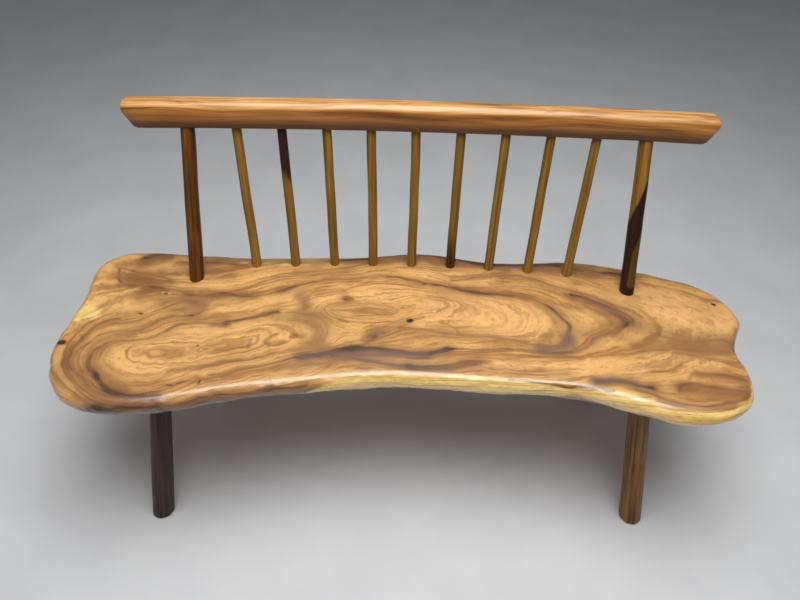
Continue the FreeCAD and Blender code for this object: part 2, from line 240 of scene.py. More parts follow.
def apply_modifier(piece: bpy.types.Object, kind: str, **settings: object) -> None:
    """Add one modifier to a piece, with its settings by name, and apply it."""
    only(piece)
    bpy.ops.object.modifier_add(type=kind)
    modifier = piece.modifiers[-1]
    for key, value in settings.items():
        setattr(modifier, key, value)
    bpy.ops.object.modifier_apply(modifier=modifier.name)


def rod(name: str, stations: int, sides: int) -> bpy.types.Object:
    """Model a plain round rod, cut into rings along its length, ready to be shaped.

    Args:
        name: The piece's name.
        stations: Rings along the rod, both ends included.
        sides: Corners of each ring, a multiple of four.

    Returns:
        The rod, 1 m in radius, standing between z -1 and z 1.
    """
    nothing_selected()
    bpy.ops.mesh.primitive_cylinder_add(vertices=sides, radius=1, depth=2, end_fill_type="NGON")
    piece = bpy.context.active_object
    piece.name = piece.data.name = name
    heights = corners_of(piece)[:, 2]
    ends = np.array([list(edge.vertices) for edge in piece.data.edges])
    pick(piece, "EDGE", np.abs(heights[ends[:, 0]] - heights[ends[:, 1]]) > 1)
    with edit_mode(piece, "EDGE"):
        bpy.ops.mesh.subdivide(number_cuts=stations - 2)
    return piece


def shape_rod(piece: bpy.types.Object, rings: np.ndarray) -> None:
    """Shape a plain rod, or a copy of one, ring by ring, and turn its faces outwards.

    Args:
        piece: A rod from rod(), or a copy of one.
        rings: Places in mm, as ring, corner round the ring, x y z.
    """
    stations, sides = rings.shape[:2]
    places = corners_of(piece)
    station = np.rint((places[:, 2] + 1) / 2 * (stations - 1)).astype(int)
    turn = np.rint(np.arctan2(places[:, 1], places[:, 0]) / TURN * sides).astype(int)
    set_corners(piece, rings[station, turn % sides] * MM)
    with edit_mode(piece, "FACE"):
        bpy.ops.mesh.select_all(action="SELECT")
        bpy.ops.mesh.normals_make_consistent(inside=False)


def copy_of(piece: bpy.types.Object, name: str) -> bpy.types.Object:
    """Copy a piece, with a mesh of its own, under a new name."""
    only(piece)
    bpy.ops.object.duplicate(linked=False)
    copy = bpy.context.active_object
    copy.name = copy.data.name = name
    return copy


def discard(piece: bpy.types.Object) -> None:
    """Remove a model that was only there to be copied."""
    bpy.data.objects.remove(piece, do_unlink=True)


def round_off(piece: bpy.types.Object, degrees: float) -> None:
    """Shade a piece smooth, apart from edges sharper than an angle."""
    only(piece)
    bpy.ops.object.shade_smooth_by_angle(angle=math.radians(degrees))


def keep(piece: bpy.types.Object, name: str, *columns: np.ndarray) -> None:
    """Store three numbers a vertex, given as three columns, for a material to read."""
    layer = piece.data.attributes.new(name, "FLOAT_VECTOR", "POINT")
    layer.data.foreach_set("vector", np.column_stack(columns).astype(np.float32).ravel())


def dress(piece: bpy.types.Object, finish: bpy.types.Material) -> None:
    """Give a piece one material and no other."""
    piece.data.materials.clear()
    piece.data.materials.append(finish)


def install(piece: bpy.types.Object, node: str, slot: str, finish: bpy.types.Material) -> None:
    """Put a finished piece in the place of its CAD node.

    Args:
        piece: The finished mesh object.
        node: The CAD node that it stands for.
        slot: Not used.
        finish: Its material.
    """
    dress(piece, finish)
    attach(piece, BODY)
    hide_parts(node)
    log.info("%s: %d faces, finish %s", piece.name, len(piece.data.polygons), finish.name)


# --------------------------------------------------------------------------
# Finishes
# --------------------------------------------------------------------------

# A map range that eases. Its sockets 1 and 2 are where it starts and ends, and 3 and 4
# are what it gives there.
EASED: dict[str | int, object] = {"interpolation_type": "SMOOTHSTEP"}


class Surface:
    """A material under construction."""

    def __init__(self, name: str) -> None:
        """Start the material with nothing in it."""
        self.material = bpy.data.materials.new(name)
        self.material.use_nodes = True
        self.tree = self.material.node_tree
        self.tree.nodes.clear()

    def add(
        self,
        kind: str,
        settings: dict[str | int, object] | None = None,
        links: dict[str | int, Source] | None = None,
    ) -> bpy.types.Node:
        """Add one node with its settings and links.

        Args:
            kind: The node's type, without "ShaderNode".
            settings: Values by the name of a property, or by the name or number of a
                socket. A text is a hex colour, and "stops" are a colour ramp's.
            links: What feeds each socket: another socket, or a node by its first output.

        Returns:
            The node.
        """
        node = self.tree.nodes.new("ShaderNode" + kind)
        for key, value in (settings or {}).items():
            if key == "stops":
                band = node.color_ramp.elements
                while len(band) < len(value):
                    band.new(0.5)
                for element, (place, code) in zip(band, value):
                    element.position, element.color = place, linear(code)
            elif isinstance(key, str) and hasattr(node, key):
                setattr(node, key, value)
            else:
                node.inputs[key].default_value = linear(value) if isinstance(value, str) else value
        for key, source in (links or {}).items():
            output = source.outputs[0] if isinstance(source, bpy.types.Node) else source
            self.tree.links.new(output, node.inputs[key])
        return node

    def weighed(self, *terms: tuple[float, Source], offset: float = 0.0) -> bpy.types.Node:
        """Add up values, each by its weight, and an offset."""
        before: dict[str | int, Source] = {}
        for weight, value in terms:
            settings = {"operation": "MULTIPLY_ADD", 1: weight, 2: offset}
            total = self.add("Math", settings, {0: value, **before})
            before = {2: total}
        return total

    def layered(self, base: Source, *layers: tuple[Source, Source | str]) -> Source:
        """Lay colours over a base, each by its share.

        Args:
            base: The colour underneath.
            layers: Share and colour of each layer; the colour may be a hex code.

        Returns:
            The colour.
        """
        # A mix node's colours are its sockets 6 and 7, and what it gives is output 2.
        for share, colour in layers:
            settings, links = {"data_type": "RGBA"}, {0: share, 6: base}
            (settings if isinstance(colour, str) else links)[7] = colour
            base = self.add("Mix", settings, links).outputs[2]
        return base

    def grain(
        self, flow: Source, sizes: Place, detail: float = 2.0, wander: float = 0.0
    ) -> bpy.types.Node:
        """Give a noise that is drawn out along the grain.

        Args:
            flow: Where a point is, in metres, with the grain's own directions as its axes.
            sizes: The noise's size in mm along each of those axes.
            detail: How many finer layers it has.
            wander: How much it is twisted.

        Returns:
            The noise, from 0 to 1.
        """
        scale = tuple(1 / (size * MM) for size in sizes)
        place = self.add("VectorMath", {"operation": "MULTIPLY", 1: scale}, {0: flow})
        settings = {"Scale": 1.0, "Detail": detail, "Roughness": 0.55, "Distortion": wander}
        return self.add("TexNoise", settings, {"Vector": place})

    def lacquered(
        self,
        colour: Source,
        relief: Source,
        roughness: Source,
        coat: float,
        depth: float = 0.2,
        ior: float = 1.5,
    ) -> bpy.types.Material:
        """Close the material with wood under a clear coat, which gives soft highlights.

        Args:
            colour: The wood's colour.
            relief: A height from 0 to 1.
            roughness: How matt the surface is.
            coat: How much clear lacquer lies on it.
            depth: The relief's full height in mm.
            ior: How strongly the wood itself mirrors the room.

        Returns:
            The finished material.
        """
        bump = self.add("Bump", {"Strength": 1.0, "Distance": depth * MM}, {"Height": relief})
        settings = {"IOR": ior, "Coat Weight": coat, "Coat Roughness": 0.28, "Coat IOR": 1.6}
        links = {"Base Color": colour, "Roughness": roughness, "Normal": bump}
        shader = self.add("BsdfPrincipled", settings, links)
        self.add("OutputMaterial", links={"Surface": shader})
        return self.material


@dataclass(frozen=True)
class FiguredSlab:
    """Live-edge acacia, sanded and lacquered: gold wood with brown-purple veins and pale sapwood.

    Each grain is its run along the growth lines and its width across them, in mm.
    """

    name: str = "acacia_slab_satin_lacquer"
    pale: str = "#EDB66D"
    middle: str = "#D6A05C"
    deep: str = "#AF783F"
    brown: str = "#8C5C30"
    olive: str = "#957A48"
    smoke: str = "#715A52"
    glow: str = "#F9C076"
    vein_soft: str = "#8A5C35"
    vein_dark: str = "#4F311F"
    sap_pale: str = "#FFDA88"
    sap_deep: str = "#E6B65F"
    knot: str = "#23160F"
    broad_grain: Point = (340.0, 34.0)
    band_grain: Point = (272.0, 13.0)
    line_grain: Point = (170.0, 4.6)
    fibre_grain: Point = (46.0, 4.0)
    thin_grain: Point = (260.0, 5.0)
    pore_grain: Point = (12.0, 3.4)
    cloud_size: Place = (160.0, 110.0, 160.0)
    full_mark: float = 0.78

    def material(self) -> bpy.types.Material:
        """Build the material, which reads the figure that the seat stores in its mesh."""
        wood = Surface(self.name)
        add, weighed = wood.add, wood.weighed
        marks: list[Source] = []
        for name in ("figure", "tint", "tone"):
            stored = add("Attribute", {"attribute_name": name}).outputs["Vector"]
            marks += add("SeparateXYZ", links={0: stored}).outputs[:3]
        ring, vein, sap, olive, glow, knot, shade, smoke, _ = marks
        place = add("TexCoord").outputs["Object"]
        x, y, _ = add("SeparateXYZ", links={0: place}).outputs
        # The third axis of the flow climbs from one growth line to the next, so that
        # every noise below runs along the lines of the figure.
        flow = add("CombineXYZ", links={0: x, 1: y, 2: ring})
        broad, bands, lines, fibres, thin, pores = (
            wood.grain(flow, (run, run, width), detail)
            for (run, width), detail in (
                (self.broad_grain, 1.0), (self.band_grain, 2.0), (self.line_grain, 2.0),
                (self.fibre_grain, 2.0), (self.thin_grain, 1.0), (self.pore_grain, 2.0),
            )
        )
        clouds = wood.grain(place, self.cloud_size)

        mood = weighed(
            (0.40, broad), (0.50, bands), (0.80, lines), (0.80, fibres), (0.25, clouds),
            offset=-0.88,
        )
        stops = ((0.30, self.deep), (0.48, self.middle), (0.66, self.pale))
        # Every mark is a little stronger or weaker from one growth line to the next.
        grip = weighed((1.3, lines), (1.1, fibres), (0.6, bands), offset=-0.50)
        shares = []
        for mark, most in ((glow, 0.70), (olive, 0.90), (shade, 0.95), (vein, 1.0), (smoke, 0.95)):
            taken = add("Math", {"operation": "MULTIPLY"}, {0: mark, 1: grip})
            shares.append(add("MapRange", {2: self.full_mark, 4: most}, {0: taken}))
        vein_stops = ((0.25, self.vein_soft), (0.85, self.vein_dark))
        sap_stops = ((0.35, self.sap_deep), (0.58, self.sap_pale))
        sap_edge = weighed((1.0, sap), (0.22, lines), offset=-0.11)
        # Thin dark growth lines and short pores lie over everything. Real ones are under
        # 1 mm wide; these are drawn as coarse as a picture of the whole bench can show.
        thin_share = add("MapRange", {**EASED, 1: 0.53, 2: 0.70, 4: 0.50}, {0: thin})
        pore_share = add("MapRange", {**EASED, 1: 0.52, 2: 0.76, 4: 0.46}, {0: pores})
        colour = wood.layered(
            add("ValToRGB", {"stops": stops}, {0: mood}),
            (shares[0], self.glow),
            (shares[1], self.olive),
            (shares[2], self.brown),
            (shares[3], add("ValToRGB", {"stops": vein_stops}, {0: shares[3]}).outputs[0]),
            (shares[4], self.smoke),
            (
                add("MapRange", {**EASED, 1: 0.12, 2: 0.70}, {0: sap_edge}),
                add("ValToRGB", {"stops": sap_stops}, {0: bands}).outputs[0],
            ),
            (add("MapRange", {**EASED, 1: 0.2, 2: 0.8}, {0: knot}), self.knot),
            (thin_share, self.brown),
            (pore_share, self.brown),
        )
        relief = weighed((0.6, lines), (-0.5, pore_share), offset=0.4)
        roughness = add("MapRange", {**EASED, 1: 0.2, 2: 0.8, 3: 0.34, 4: 0.42}, {0: lines})
        return wood.lacquered(colour, relief, roughness, coat=1.0, depth=0.25)


@dataclass(frozen=True)
class StickWood:
    """Shaved and lacquered stick wood: drawn-out streaks and soft highlights along the stick.

    The streaks and lines are their width across the stick and their run along it, in mm.
    The dark colour is heartwood on sticks, painted shade on the rail's lower front; the light one
    is a painted highlight on the rail's top.
    """

    name: str
    pale: str
    middle: str
    deep: str
    stain_and_shade: str = "#1A0D06"
    painted_highlight: str = "#EBB678"
    streaks: Point = (6.0, 220.0)
    lines: Point = (1.6, 90.0)
    roughness: float = 0.38
    coat: float = 0.1
    ior: float = 1.35

    def material(self) -> bpy.types.Material:
        """Build the material, which reads the grain direction that the stick stores."""
        wood = Surface(self.name)
        add, weighed = wood.add, wood.weighed
        flow, mark = (
            add("Attribute", {"attribute_name": name}).outputs["Vector"]
            for name in ("grain", "mark")
        )
        dark, bright, _ = add("SeparateXYZ", links={0: mark}).outputs
        streaks = wood.grain(flow, (self.streaks[0], *self.streaks), wander=0.5)
        lines = wood.grain(flow, (self.lines[0], *self.lines))
        mood = weighed((0.9, streaks), (0.45, lines), offset=-0.18)
        stops = ((0.32, self.deep), (0.50, self.middle), (0.72, self.pale))
        # Dark heartwood on the sticks; painted shade on the rail's lower front.
        stain_and_shade_share = weighed((1.0, dark), (0.7, streaks), (0.3, lines), offset=-0.5)
        # Painted highlight along the rail's top.
        light = weighed((1.0, bright), (1.3, streaks), (0.7, lines), offset=-1.1)
        colour = wood.layered(
            add("ValToRGB", {"stops": stops}, {0: mood}),
            (add("MapRange", {**EASED, 1: 0.3, 2: 0.7, 4: 0.96}, {0: stain_and_shade_share}), self.stain_and_shade),
            (add("MapRange", {**EASED, 1: 0.45, 2: 1.25, 4: 0.72}, {0: light}), self.painted_highlight),
        )
        matt, glossy = self.roughness + 0.06, self.roughness - 0.05
        rough = add("MapRange", {**EASED, 1: 0.2, 2: 0.8, 3: matt, 4: glossy}, {0: lines})
        return wood.lacquered(colour, mood, rough, self.coat, ior=self.ior)


# --------------------------------------------------------------------------
# The seat's figure
# --------------------------------------------------------------------------


class Mark(Enum):
    """What a drawn line of the figure leaves on the slab."""

    GUIDE = "only leads the growth lines"
    VEIN = "dark vein"
    SAP = "pale sapwood"
    # Mostly brown wood; the underside and some rear strokes lay painted shade with it.
    SHADE = "broad brown wood"
    OLIVE = "grey-olive wood"
    SMOKE = "purple-grey wood"
    GLOW = "warm bright wood"
    KNOT = "black knot or bark"


@dataclass(frozen=True)
class Stroke:
    """One line of the figure.

    The course is x, y, x, y and so on in mm on the plan of the slab. The level is the
    growth line's distance from the heart of the figure, at the stroke's two ends; None
    leaves the growth lines alone.
    """

    mark: Mark
    width: float
    depth: float
    course: tuple[float, ...]
    level: Point | None = None

    def path(self, step: float) -> np.ndarray:
        """Walk along the stroke, with a step in mm between the places that come back."""
        return through(np.reshape(self.course, (-1, 2)), False, step)


def drawn_as(mark: Mark) -> Callable[..., Stroke]:
    """Give a short way to write strokes of one mark."""

    def stroke(width: float, depth: float, *course: float, level: Point | None = None) -> Stroke:
        """Draw one stroke: its width in mm, its depth of colour, and its course."""
        return Stroke(mark, width, depth, course, level)

    return stroke


def guide(*course: float, level: Point) -> Stroke:
    """Draw a line that only leads the growth lines."""
    return Stroke(Mark.GUIDE, 0, 0, course, level)


vein, sap, shade, olive, smoke, glow, knot = (
    drawn_as(mark)
    for mark in (
        Mark.VEIN, Mark.SAP, Mark.SHADE, Mark.OLIVE, Mark.SMOKE, Mark.GLOW, Mark.KNOT,
    )
)

# A stroke's number in these tables seeds its unevenness, so new ones come last.
LEFT_EYE: tuple[Stroke, ...] = (
    # Heart of the left eye, and the loops round it that open to the right.
    vein(4, 0.12, -606, -150, -560, -153, -505, -150, level=(2, 8)),
    guide(-470, -146, -420, -126, -380, -112, -335, -98, level=(9, 14)),
    vein(3.5, 0.12, -330, -68, -390, -88, -455, -110, -535, -114, -594, -124, -620, -146,
         -612, -174, -578, -188, -520, -186, -455, -172, -390, -150, -330, -130, level=(28, 28)),
    vein(3, 0.1, -400, -108, -470, -128, -530, -132, -572, -140, -580, -156, -552, -168,
         -500, -168, -420, -148, level=(18, 18)),
    vein(4, 0.15, -440, -88, -520, -92, -600, -114, -648, -144, -640, -186, -596, -212,
         -520, -212, -470, -200, level=(42, 42)),
    # Upper vein of the left lobe, which runs on round the second eye.
    vein(7, 0.4, -690, -153, -677, -137, -656, -124, -608, -111, -561, -95, -534, -68, -502, -53,
         -457, -51, -419, -48, -379, -33, -338, -15, -298, -5, level=(60, 60)),
    vein(10, 0.18, -556, -92, -536, -68, -506, -54),
    vein(12, 0.42, -440, -54, -402, -43, -366, -26, -330, -12, -290, -5),
    vein(11, 0.35, -470, -56, -438, -60, -404, -51),
    vein(13, 0.22, -298, -5, -267, -5, -229, -13, -202, -23, -184, -48, -183, -75, -202, -98,
         -250, -113, level=(60, 60)),
    # Crescent that closes the lobe at the left and runs on into the front vein.
    vein(7, 0.35, -690, -156, -691, -178, -672, -208, -640, -241, -606, -264, -566, -275,
         -520, -262, -470, -236, -431, -214, level=(60, 76)),
    vein(13, 0.28, -672, -134, -689, -158, -688, -188, -664, -218, -634, -246),
    vein(16, 0.68, -656, -224, -632, -246, -606, -263, -566, -273, -510, -271),
    vein(7, 0.35, -560, -252, -500, -240, -440, -232, -396, -226),
    vein(6, 0.42, -500, -25, -534, -29, -571, -47, -603, -76, -648, -90, -693, -106, -714, -135,
         -719, -156, -708, -190, -680, -222, level=(84, 82)),
    vein(9, 0.2, -590, -62, -552, -36, -518, -27, -486, -22),
    vein(3.5, 0.4, -612, -96, -650, -108, -684, -122, -701, -150, -694, -184, -664, -220),
    vein(4, 0.42, -706, -120, -728, -160, -716, -196, -684, -228, -640, -256, -590, -272),
    vein(4, 0.45, -748, -120, -746, -160, -730, -200, -690, -244, -640, -276, -580, -290,
         -500, -286),
    vein(7, 0.55, -662, -47, -693, -53, -722, -90, -737, -132, -738, -156, -722, -198, -682, -235,
         -640, -264, -570, -281, -500, -276, level=(104, 98)),
    vein(9, 0.22, -728, -96, -738, -140, -732, -180, -704, -220),
    guide(-674, -49, -640, -38, -600, -18, -560, 14, -505, 41, level=(104, 103)),
    vein(5, 0.5, -740, -70, -754, -110, -752, -156, -730, -209, -685, -257, -635, -286,
         -555, -296, -440, -284, level=(122, 120)),
    vein(6, 0.5, -762, -193, -730, -235, -682, -272, -624, -296, -555, -304,
         -440, -294, level=(142, 134)),
    vein(4, 0.3, -763, -100, -738, -60, -709, -47, -672, -44, level=(134, 108)),
    vein(5, 0.3, -705, -62, -656, -62, -618, -56, -596, -42),
    # Dark layers that the front edge cuts through.
    vein(6, 0.6, -640, -294, -560, -297, -480, -282, -400, -257, -300, -238, -200, -221),
    vein(7, 0.75, -660, -302, -580, -306, -480, -292, -400, -267, -300, -249, -200, -231),
)

REAR_LEFT: tuple[Stroke, ...] = (
    vein(5, 0.15, -775, -30, -735, 0, -690, 35, -640, 60, -592, 62, -534, 52,
         -500, 61, level=(140, 128)),
    # Brown leaf in the rear left corner.
    vein(6, 0.45, -712, 134, -680, 126, -640, 116, -606, 104, -588, 94),
    vein(8, 0.55, -746, 146, -732, 114, -718, 88, -698, 76, -664, 72),
    vein(8, 0.36, -704, 66, -676, 72, -646, 72, -622, 66, -600, 68),
    vein(9, 0.25, -650, 68, -622, 66, -598, 66, -568, 66, -545, 57, -520, 46),
    vein(4, 0.12, -760, 150, -719, 143, -698, 130, -666, 122, -608, 109, -566, 101, -500, 106,
         -440, 126, -380, 150, -330, 165, level=(176, 170)),
    vein(11, 0.42, -562, 48, -530, 46, -496, 48, -450, 52, -400, 50, -368, 52),
    vein(10, 0.35, -546, 23, -520, 20, -498, 14),
    vein(9, 0.5, -540, 178, -505, 177, -478, 172, -440, 167, -402, 162),
    vein(5, 0.3, -520, -27, -495, -20, -469, -5, -452, 10, -419, 18, -394, 28,
         -358, 44, level=(91, 97)),
    vein(4, 0.3, -500, -43, -469, -38, -444, -30, -419, -25),
    vein(16, 0.3, -692, 176, -682, 194, -656, 203),
)

REAR_MIDDLE: tuple[Stroke, ...] = (
    vein(8, 0.42, -505, 41, -470, 43, -437, 48, -389, 43, -343, 58, -300, 74, -255, 101,
         -217, 114, -150, 122, -100, 135, -48, 140, -7, 135, 34, 117, 54, 107, level=(103, 103)),
    vein(12, 0.4, -334, 60, -292, 80, -256, 101, -222, 111),
    vein(9, 0.3, -64, 139, -22, 137, 12, 129),
    vein(12, 0.42, 54, 107, 92, 105, 131, 97, 169, 87, 250, 84, 300, 68, 343, 42, 367, 7,
         383, -22, 375, -56, 354, -88, 306, -92, 287, -83, level=(103, 98)),
    vein(9, 0.38, 34, 114, 80, 108, 124, 99, 170, 88, 220, 83, 270, 80),
    vein(17, 0.14, 300, 70, 340, 42, 366, 10, 381, -24, 384, -50, 370, -76),
    vein(5, 0.42, -520, 60, -492, 62, -462, 58, -430, 66, -399, 79, -368, 104, -323, 122,
         -267, 133, -217, 140, -150, 154, level=(128, 142)),
    vein(7, 0.48, -300, 150, -250, 152, -220, 156, -176, 166, -130, 182, -96, 198,
         -60, 206, level=(150, 190)),
    vein(6, 0.42, -236, 60, -190, 72, -146, 82, level=(76, 80)),
    vein(4, 0.35, -190, 10, -160, 26, -120, 32, -80, 30, -40, 24, -12, 8, level=(30, 32)),
    vein(3, 0.25, -190, 4, -130, 4, -70, 2, -20, 0, level=(14, 12)),
    vein(3, 0.3, -166, -30, -130, -15, -90, -10, -30, -6),
    guide(-20, 12, 20, 34, 62, 33, level=(12, 18)),
    vein(3.5, 0.3, 8, 71, 49, 59, 87, 41, 90, 31, 69, 20, 40, 12, level=(38, 38)),
    vein(3.5, 0.3, 45, 70, 85, 61, 112, 46, 116, 34, 100, 24, 66, 10, level=(48, 48)),
    vein(3.5, 0.25, 70, 74, 110, 64, 140, 48, 144, 32, 120, 16, level=(57, 57)),
    # Loops of the large eye, nested towards its right end.
    vein(3.5, 0.22, 40, 84, 110, 73, 180, 44, 226, 14, 236, -6, 222, -28, 160, -38, 100, -42,
         40, -38, level=(66, 66)),
    vein(3.5, 0.2, 60, 90, 140, 81, 220, 54, 262, 20, 272, -10, 250, -40, 180, -52, 110, -54,
         50, -46, level=(76, 76)),
    vein(4, 0.2, 120, 92, 190, 78, 256, 62, 300, 24, 312, -12, 294, -50, 240, -66,
         level=(86, 86)),
    vein(4, 0.22, 230, 78, 290, 64, 330, 34, 347, -8, 340, -50, 306, -78, level=(95, 95)),
)

SECOND_EYE: tuple[Stroke, ...] = (
    shade(7, 0.6, -288, -79, -308, -92, -320, -106, -312, -113, -262, -99),
    vein(4, 0.3, -318, -111, -290, -107, -262, -99, level=(30, 30)),
    shade(13, 0.6, -256, -82, -244, -83),
    shade(8, 0.5, -353, -126, -351, -112),
    vein(3, 0.3, -430, -131, -390, -130, -350, -127, -300, -118),
    vein(5, 0.22, -300, -34, -262, -34, -226, -48, -212, -72, -226, -92, level=(42, 42)),
)

FRONT_MIDDLE: tuple[Stroke, ...] = (
    vein(12, 0.35, -520, -206, -444, -187, -381, -170, -330, -155, -280, -141, -217, -124,
         -160, -106, level=(54, 62)),
    vein(16, 0.25, -440, -188, -400, -176, -360, -166),
    vein(8, 0.45, -431, -214, -380, -203, -340, -188, -300, -174, -260, -159, -217, -141,
         -150, -128, -99, -118, -48, -120, 3, -129, 50, -128, 100, -115, 182, -110,
         250, -106, level=(76, 124)),
    vein(15, 0.72, -236, -152, -212, -147, -182, -142, -140, -131, -96, -121),
    vein(15, 0.72, -160, -131, -110, -121, -50, -124, 10, -129, 50, -126, 90, -117),
    vein(6, 0.35, -180, -136, -120, -142, -60, -140, 0, -142, 60, -138),
    vein(8, 0.45, -150, -122, -120, -112, -92, -100, -74, -84, -68, -66),
    vein(22, 0.35, -84, -72, -66, -66, -50, -70),
    vein(5, 0.35, -61, -52, -30, -45, 0, -32, 10, -24),
    vein(6, 0.35, -399, -219, -343, -204, -293, -186, -250, -172),
    vein(6, 0.3, -293, -196, -242, -180, -192, -171, -140, -166),
    vein(8, 0.55, -172, -146, -120, -150, -80, -156, -30, -166, 20, -168, 70, -165, 100, -158,
         140, -148, 176, -148, level=(138, 148)),
    vein(13, 0.6, -10, -172, 50, -175, 100, -170, 134, -158, 170, -152),
    vein(5, 0.42, 0, -148, 30, -145, 80, -135, 130, -128, 200, -126, 260, -128, 330, -126,
         400, -127, level=(130, 136)),
    vein(7, 0.42, -30, -50, 29, -48, 80, -60, 120, -64, 169, -69, 250, -78,
         287, -83, level=(78, 97)),
    vein(4, 0.4, 100, -34, 114, -46, 124, -58),
    vein(5, 0.4, 192, -85, 214, -89, 232, -84),
)

RIGHT: tuple[Stroke, ...] = (
    vein(5, 0.35, 100, 104, 150, 105, 207, 108, 240, 114, 274, 118, 325, 111, 364, 96,
         400, 88, level=(108, 128)),
    vein(7, 0.45, 100, 132, 160, 140, 200, 149, 262, 160, 300, 156, 340, 141, 376, 122, 412, 104,
         465, 80, 520, 44, level=(128, 140)),
    vein(7, 0.45, 250, -104, 300, -112, 359, -114, 400, -96, 449, -59, 497, -38, 521, -14,
         537, 10, 518, 34, 481, 52, 440, 76, 400, 90, level=(124, 128)),
    vein(17, 0.5, 396, 86, 430, 76, 462, 58, 492, 36, 514, 12, 516, -8, 500, -28),
    vein(20, 0.4, 500, 26, 520, 8, 520, -8),
    vein(6, 0.35, 502, -28, 470, -42, 430, -66, 398, -90),
    vein(6, 0.3, 400, -61, 438, -38, 481, -8, level=(112, 118)),
    vein(10, 0.4, 290, -104, 316, -114, 350, -116, 380, -106),
    vein(7, 0.45, 401, -124, 450, -118, 500, -110, 540, -98, 600, -97, level=(140, 150)),
    vein(19, 0.72, 414, -197, 444, -194, 470, -195, 494, -202, 526, -208, level=(188, 190)),
    vein(9, 0.35, 600, -88, 650, -90, 700, -92, 745, -96, level=(154, 160)),
    vein(6, 0.35, 560, -40, 610, -58, 650, -64, 700, -60, 748, -60),
    vein(3.5, 0.3, 600, -34, 634, -42, 656, -56, 632, -64),
    vein(5, 0.35, 600, -103, 632, -106, 670, -116, 728, -140, 750, -151, level=(166, 172)),
    vein(9, 0.5, 624, -160, 656, -163, 692, -166, 730, -176, 748, -184, level=(184, 188)),
    vein(9, 0.4, 578, -226, 582, -208, 610, -199, 650, -201, 691, -206, 738, -211),
    vein(6, 0.55, 480, -216, 530, -232, 570, -246, 610, -251, 650, -246, 693, -236,
         730, -222, level=(204, 212)),
    vein(6, 0.4, 520, -238, 574, -256, 614, -262, 660, -256, 706, -242, level=(222, 222)),
    vein(7, 0.35, 500, 184, 550, 180, 600, 174, 650, 164, 700, 148, 752, 120, level=(190, 190)),
    vein(4, 0.2, 560, 140, 614, 138, 650, 130, 700, 112, 750, 84, level=(176, 180)),
    vein(4, 0.15, 600, 90, 650, 78, 710, 50, 770, 10, level=(164, 170)),
    guide(560, 30, 600, 6, 650, -20, 720, -40, 780, -45, level=(140, 164)),
)

